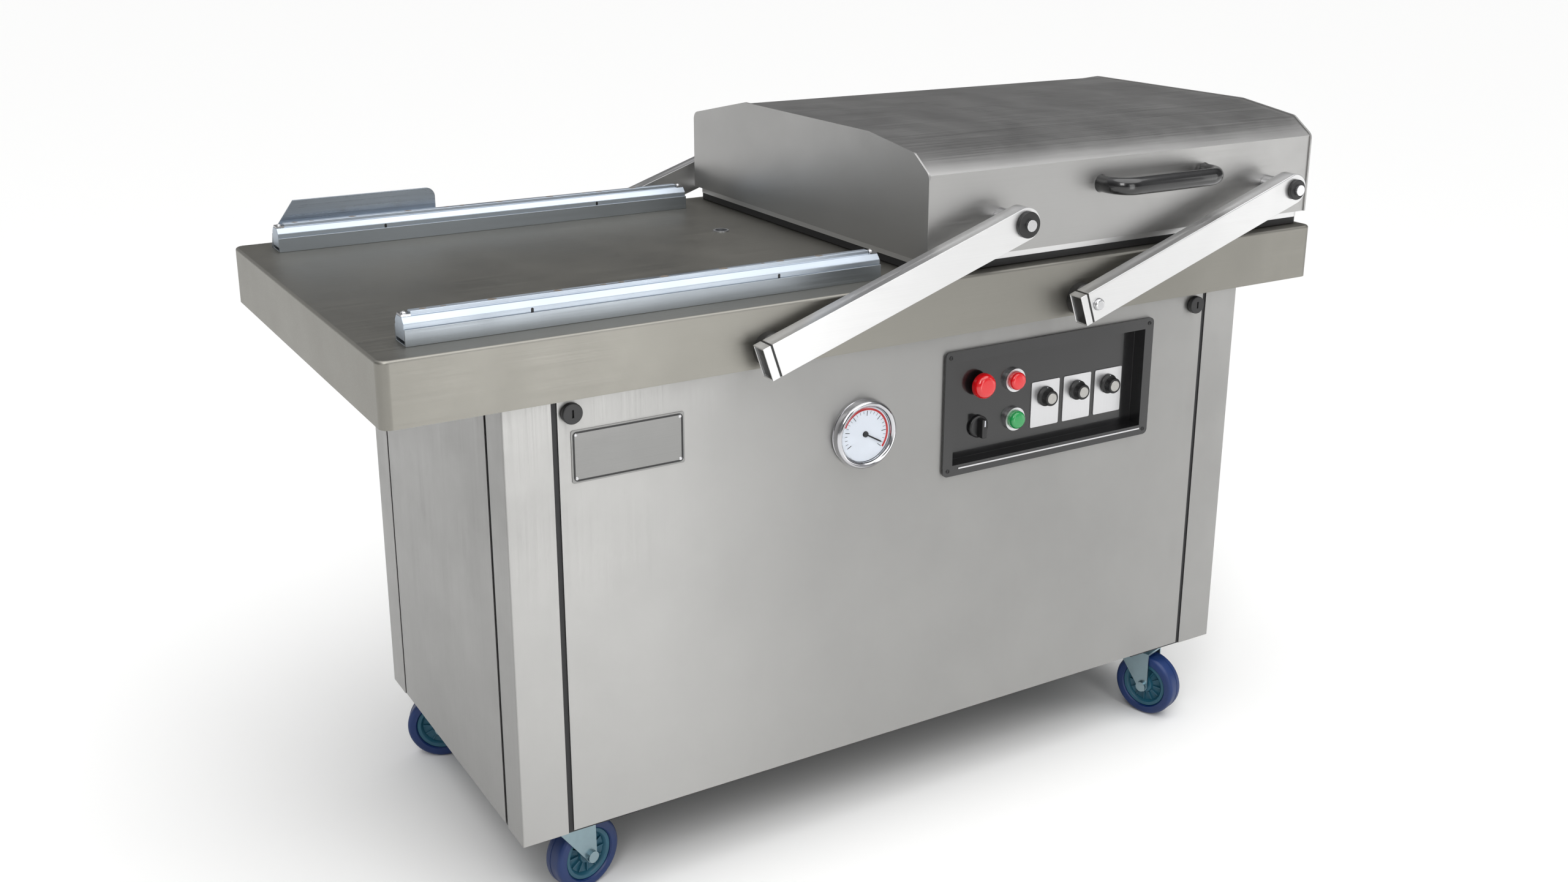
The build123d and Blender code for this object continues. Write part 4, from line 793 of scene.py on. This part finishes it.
def makeSealBar(side, end):
    name = "seal_bar_" + side + "_" + end
    low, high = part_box(name)
    y = (low.y + high.y) / 2
    top = high.z
    shoulder = top - 0.005

    def buildTape(bm):
        count = 80
        half = sealing["tapeWidth"] / 2
        x0, x1 = low.x + 0.020, high.x - 0.020
        rings = []
        for i in range(count + 1):
            x = x0 + (x1 - x0) * i / count
            wave = 0.00012 * math.sin(i * 1.7) + 0.00010 * math.sin(i * 0.63)
            lift = top + wave - 0.0002
            rings.append([
                bm.verts.new((x, y - half, lift - 0.0030)), bm.verts.new((x, y - half - 0.0002, lift)),
                bm.verts.new((x, y - 0.0012, lift + 0.0001)), bm.verts.new((x, y + 0.0012, lift + 0.0001)),
                bm.verts.new((x, y + half + 0.0002, lift)), bm.verts.new((x, y + half, lift - 0.0030)),
            ])
        for a, b in zip(rings, rings[1:]):
            for k in range(6):
                n = (k + 1) % 6
                bm.faces.new((a[k], a[n], b[n], b[k]))
        bm.faces.new(rings[0])
        bm.faces.new(rings[-1])

    barName = side.title() + end.title()
    addPiece("sealTape" + barName, meshOf(name + "Tape", buildTape), "tape", name)

    def buildClamps(bm):
        for x in (low.x + 0.006, high.x - 0.006):
            made = bmesh.ops.create_cube(bm, size=1)
            shape = boxShape((x, y, shoulder + 0.0012), (0.0115, 0.017, 0.0026))
            bmesh.ops.transform(bm, matrix=shape, verts=made["verts"])
            edges = {e for v in made["verts"] for e in v.link_edges}
            bmesh.ops.bevel(bm, geom=list(edges), offset=0.0006, segments=2, affect="EDGES")
            screwHead(bm, x, y, shoulder + 0.0023, (0, 0, 1), 0.0040, 0.0022)

    # painted shade: flat black oblongs, a little proud of each bar face, stand for the shade inside slot
    # openings; no hole is cut
    def buildSlotPaintedShade(bm):
        for share in (0.24, 0.76):
            x = low.x + (high.x - low.x) * share
            for face, out in ((low.y, -1), (high.y, 1)):
                place = facing(x, face - out * 0.0008, low.z + 0.0145, (0, out, 0))
                rings = []
                for height in (0, 0.0010):
                    ring = []
                    for cx, cy, start in ((0, 0.0032, 0), (0, -0.0032, 180)):
                        for px, py in arcPoints((cx, cy), 0.0017, start, start + 180, 8):
                            ring.append(bm.verts.new(place @ Vector((px, py, height))))
                    rings.append(ring)
                for i in range(len(rings[0])):
                    j = (i + 1) % len(rings[0])
                    bm.faces.new((rings[0][i], rings[0][j], rings[1][j], rings[1][i]))
                capped(bm, rings)

    # the black rubber finish on these oblongs is painted shade for the slot openings
    addPiece("sealSlotPaintedShade" + barName, meshOf(name + "SlotPaintedShade", buildSlotPaintedShade), "rubber", name)

    addPiece("sealClamps" + barName, meshOf(name + "Clamps", buildClamps), "shaft", name)


# retaining strips that hold the gasket under the lid's front, back and ends

gasketStrip = {"height": 0.0085, "thick": 0.0012, "proud": 0.0008}


def makeGasketStrip():
    low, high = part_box("lid_gasket")
    top = high.z - 0.0004
    base = top - gasketStrip["height"]
    out, thick, r = gasketStrip["proud"], gasketStrip["thick"], 0.0125

    def build(bm):
        rings = []
        for grow, z in ((out, base), (out, top), (out - thick, top), (out - thick, base)):
            x0, x1, y0, y1 = low.x - grow, high.x + grow, low.y - grow, high.y + grow
            ring = []
            for cx, cy, start in ((x1 - r, y1 - r, 0), (x0 + r, y1 - r, 90),
                                  (x0 + r, y0 + r, 180), (x1 - r, y0 + r, 270)):
                ring += [bm.verts.new((px, py, z)) for px, py in arcPoints((cx, cy), r, start, start + 90, 8)]
            rings.append(ring)
        for a, b in zip(rings, rings[1:] + rings[:1]):
            for i in range(len(a)):
                j = (i + 1) % len(a)
                bm.faces.new((a[i], a[j], b[j], b[i]))

    addPiece("gasketStrip", meshOf("gasketStrip", build), "arm", "lid")


makeHandle()
makeGasketStrip()
for corner in ("front_left", "front_right", "rear_left", "rear_right"):
    makeWheel(corner)
print("handle and wheels made")
makeButton("emergency_stop", "red", True)
makeButton("stop_button", "red", False)
makeButton("start_button", "green", False)
for number in (1, 2, 3):
    makeTimerKnob(number)
makeSelector()
makeGauge()
makeScrews()
for side in ("left", "right"):
    for end in ("front", "rear"):
        makeSealBar(side, end)
print("controls, gauge and seal bars made")
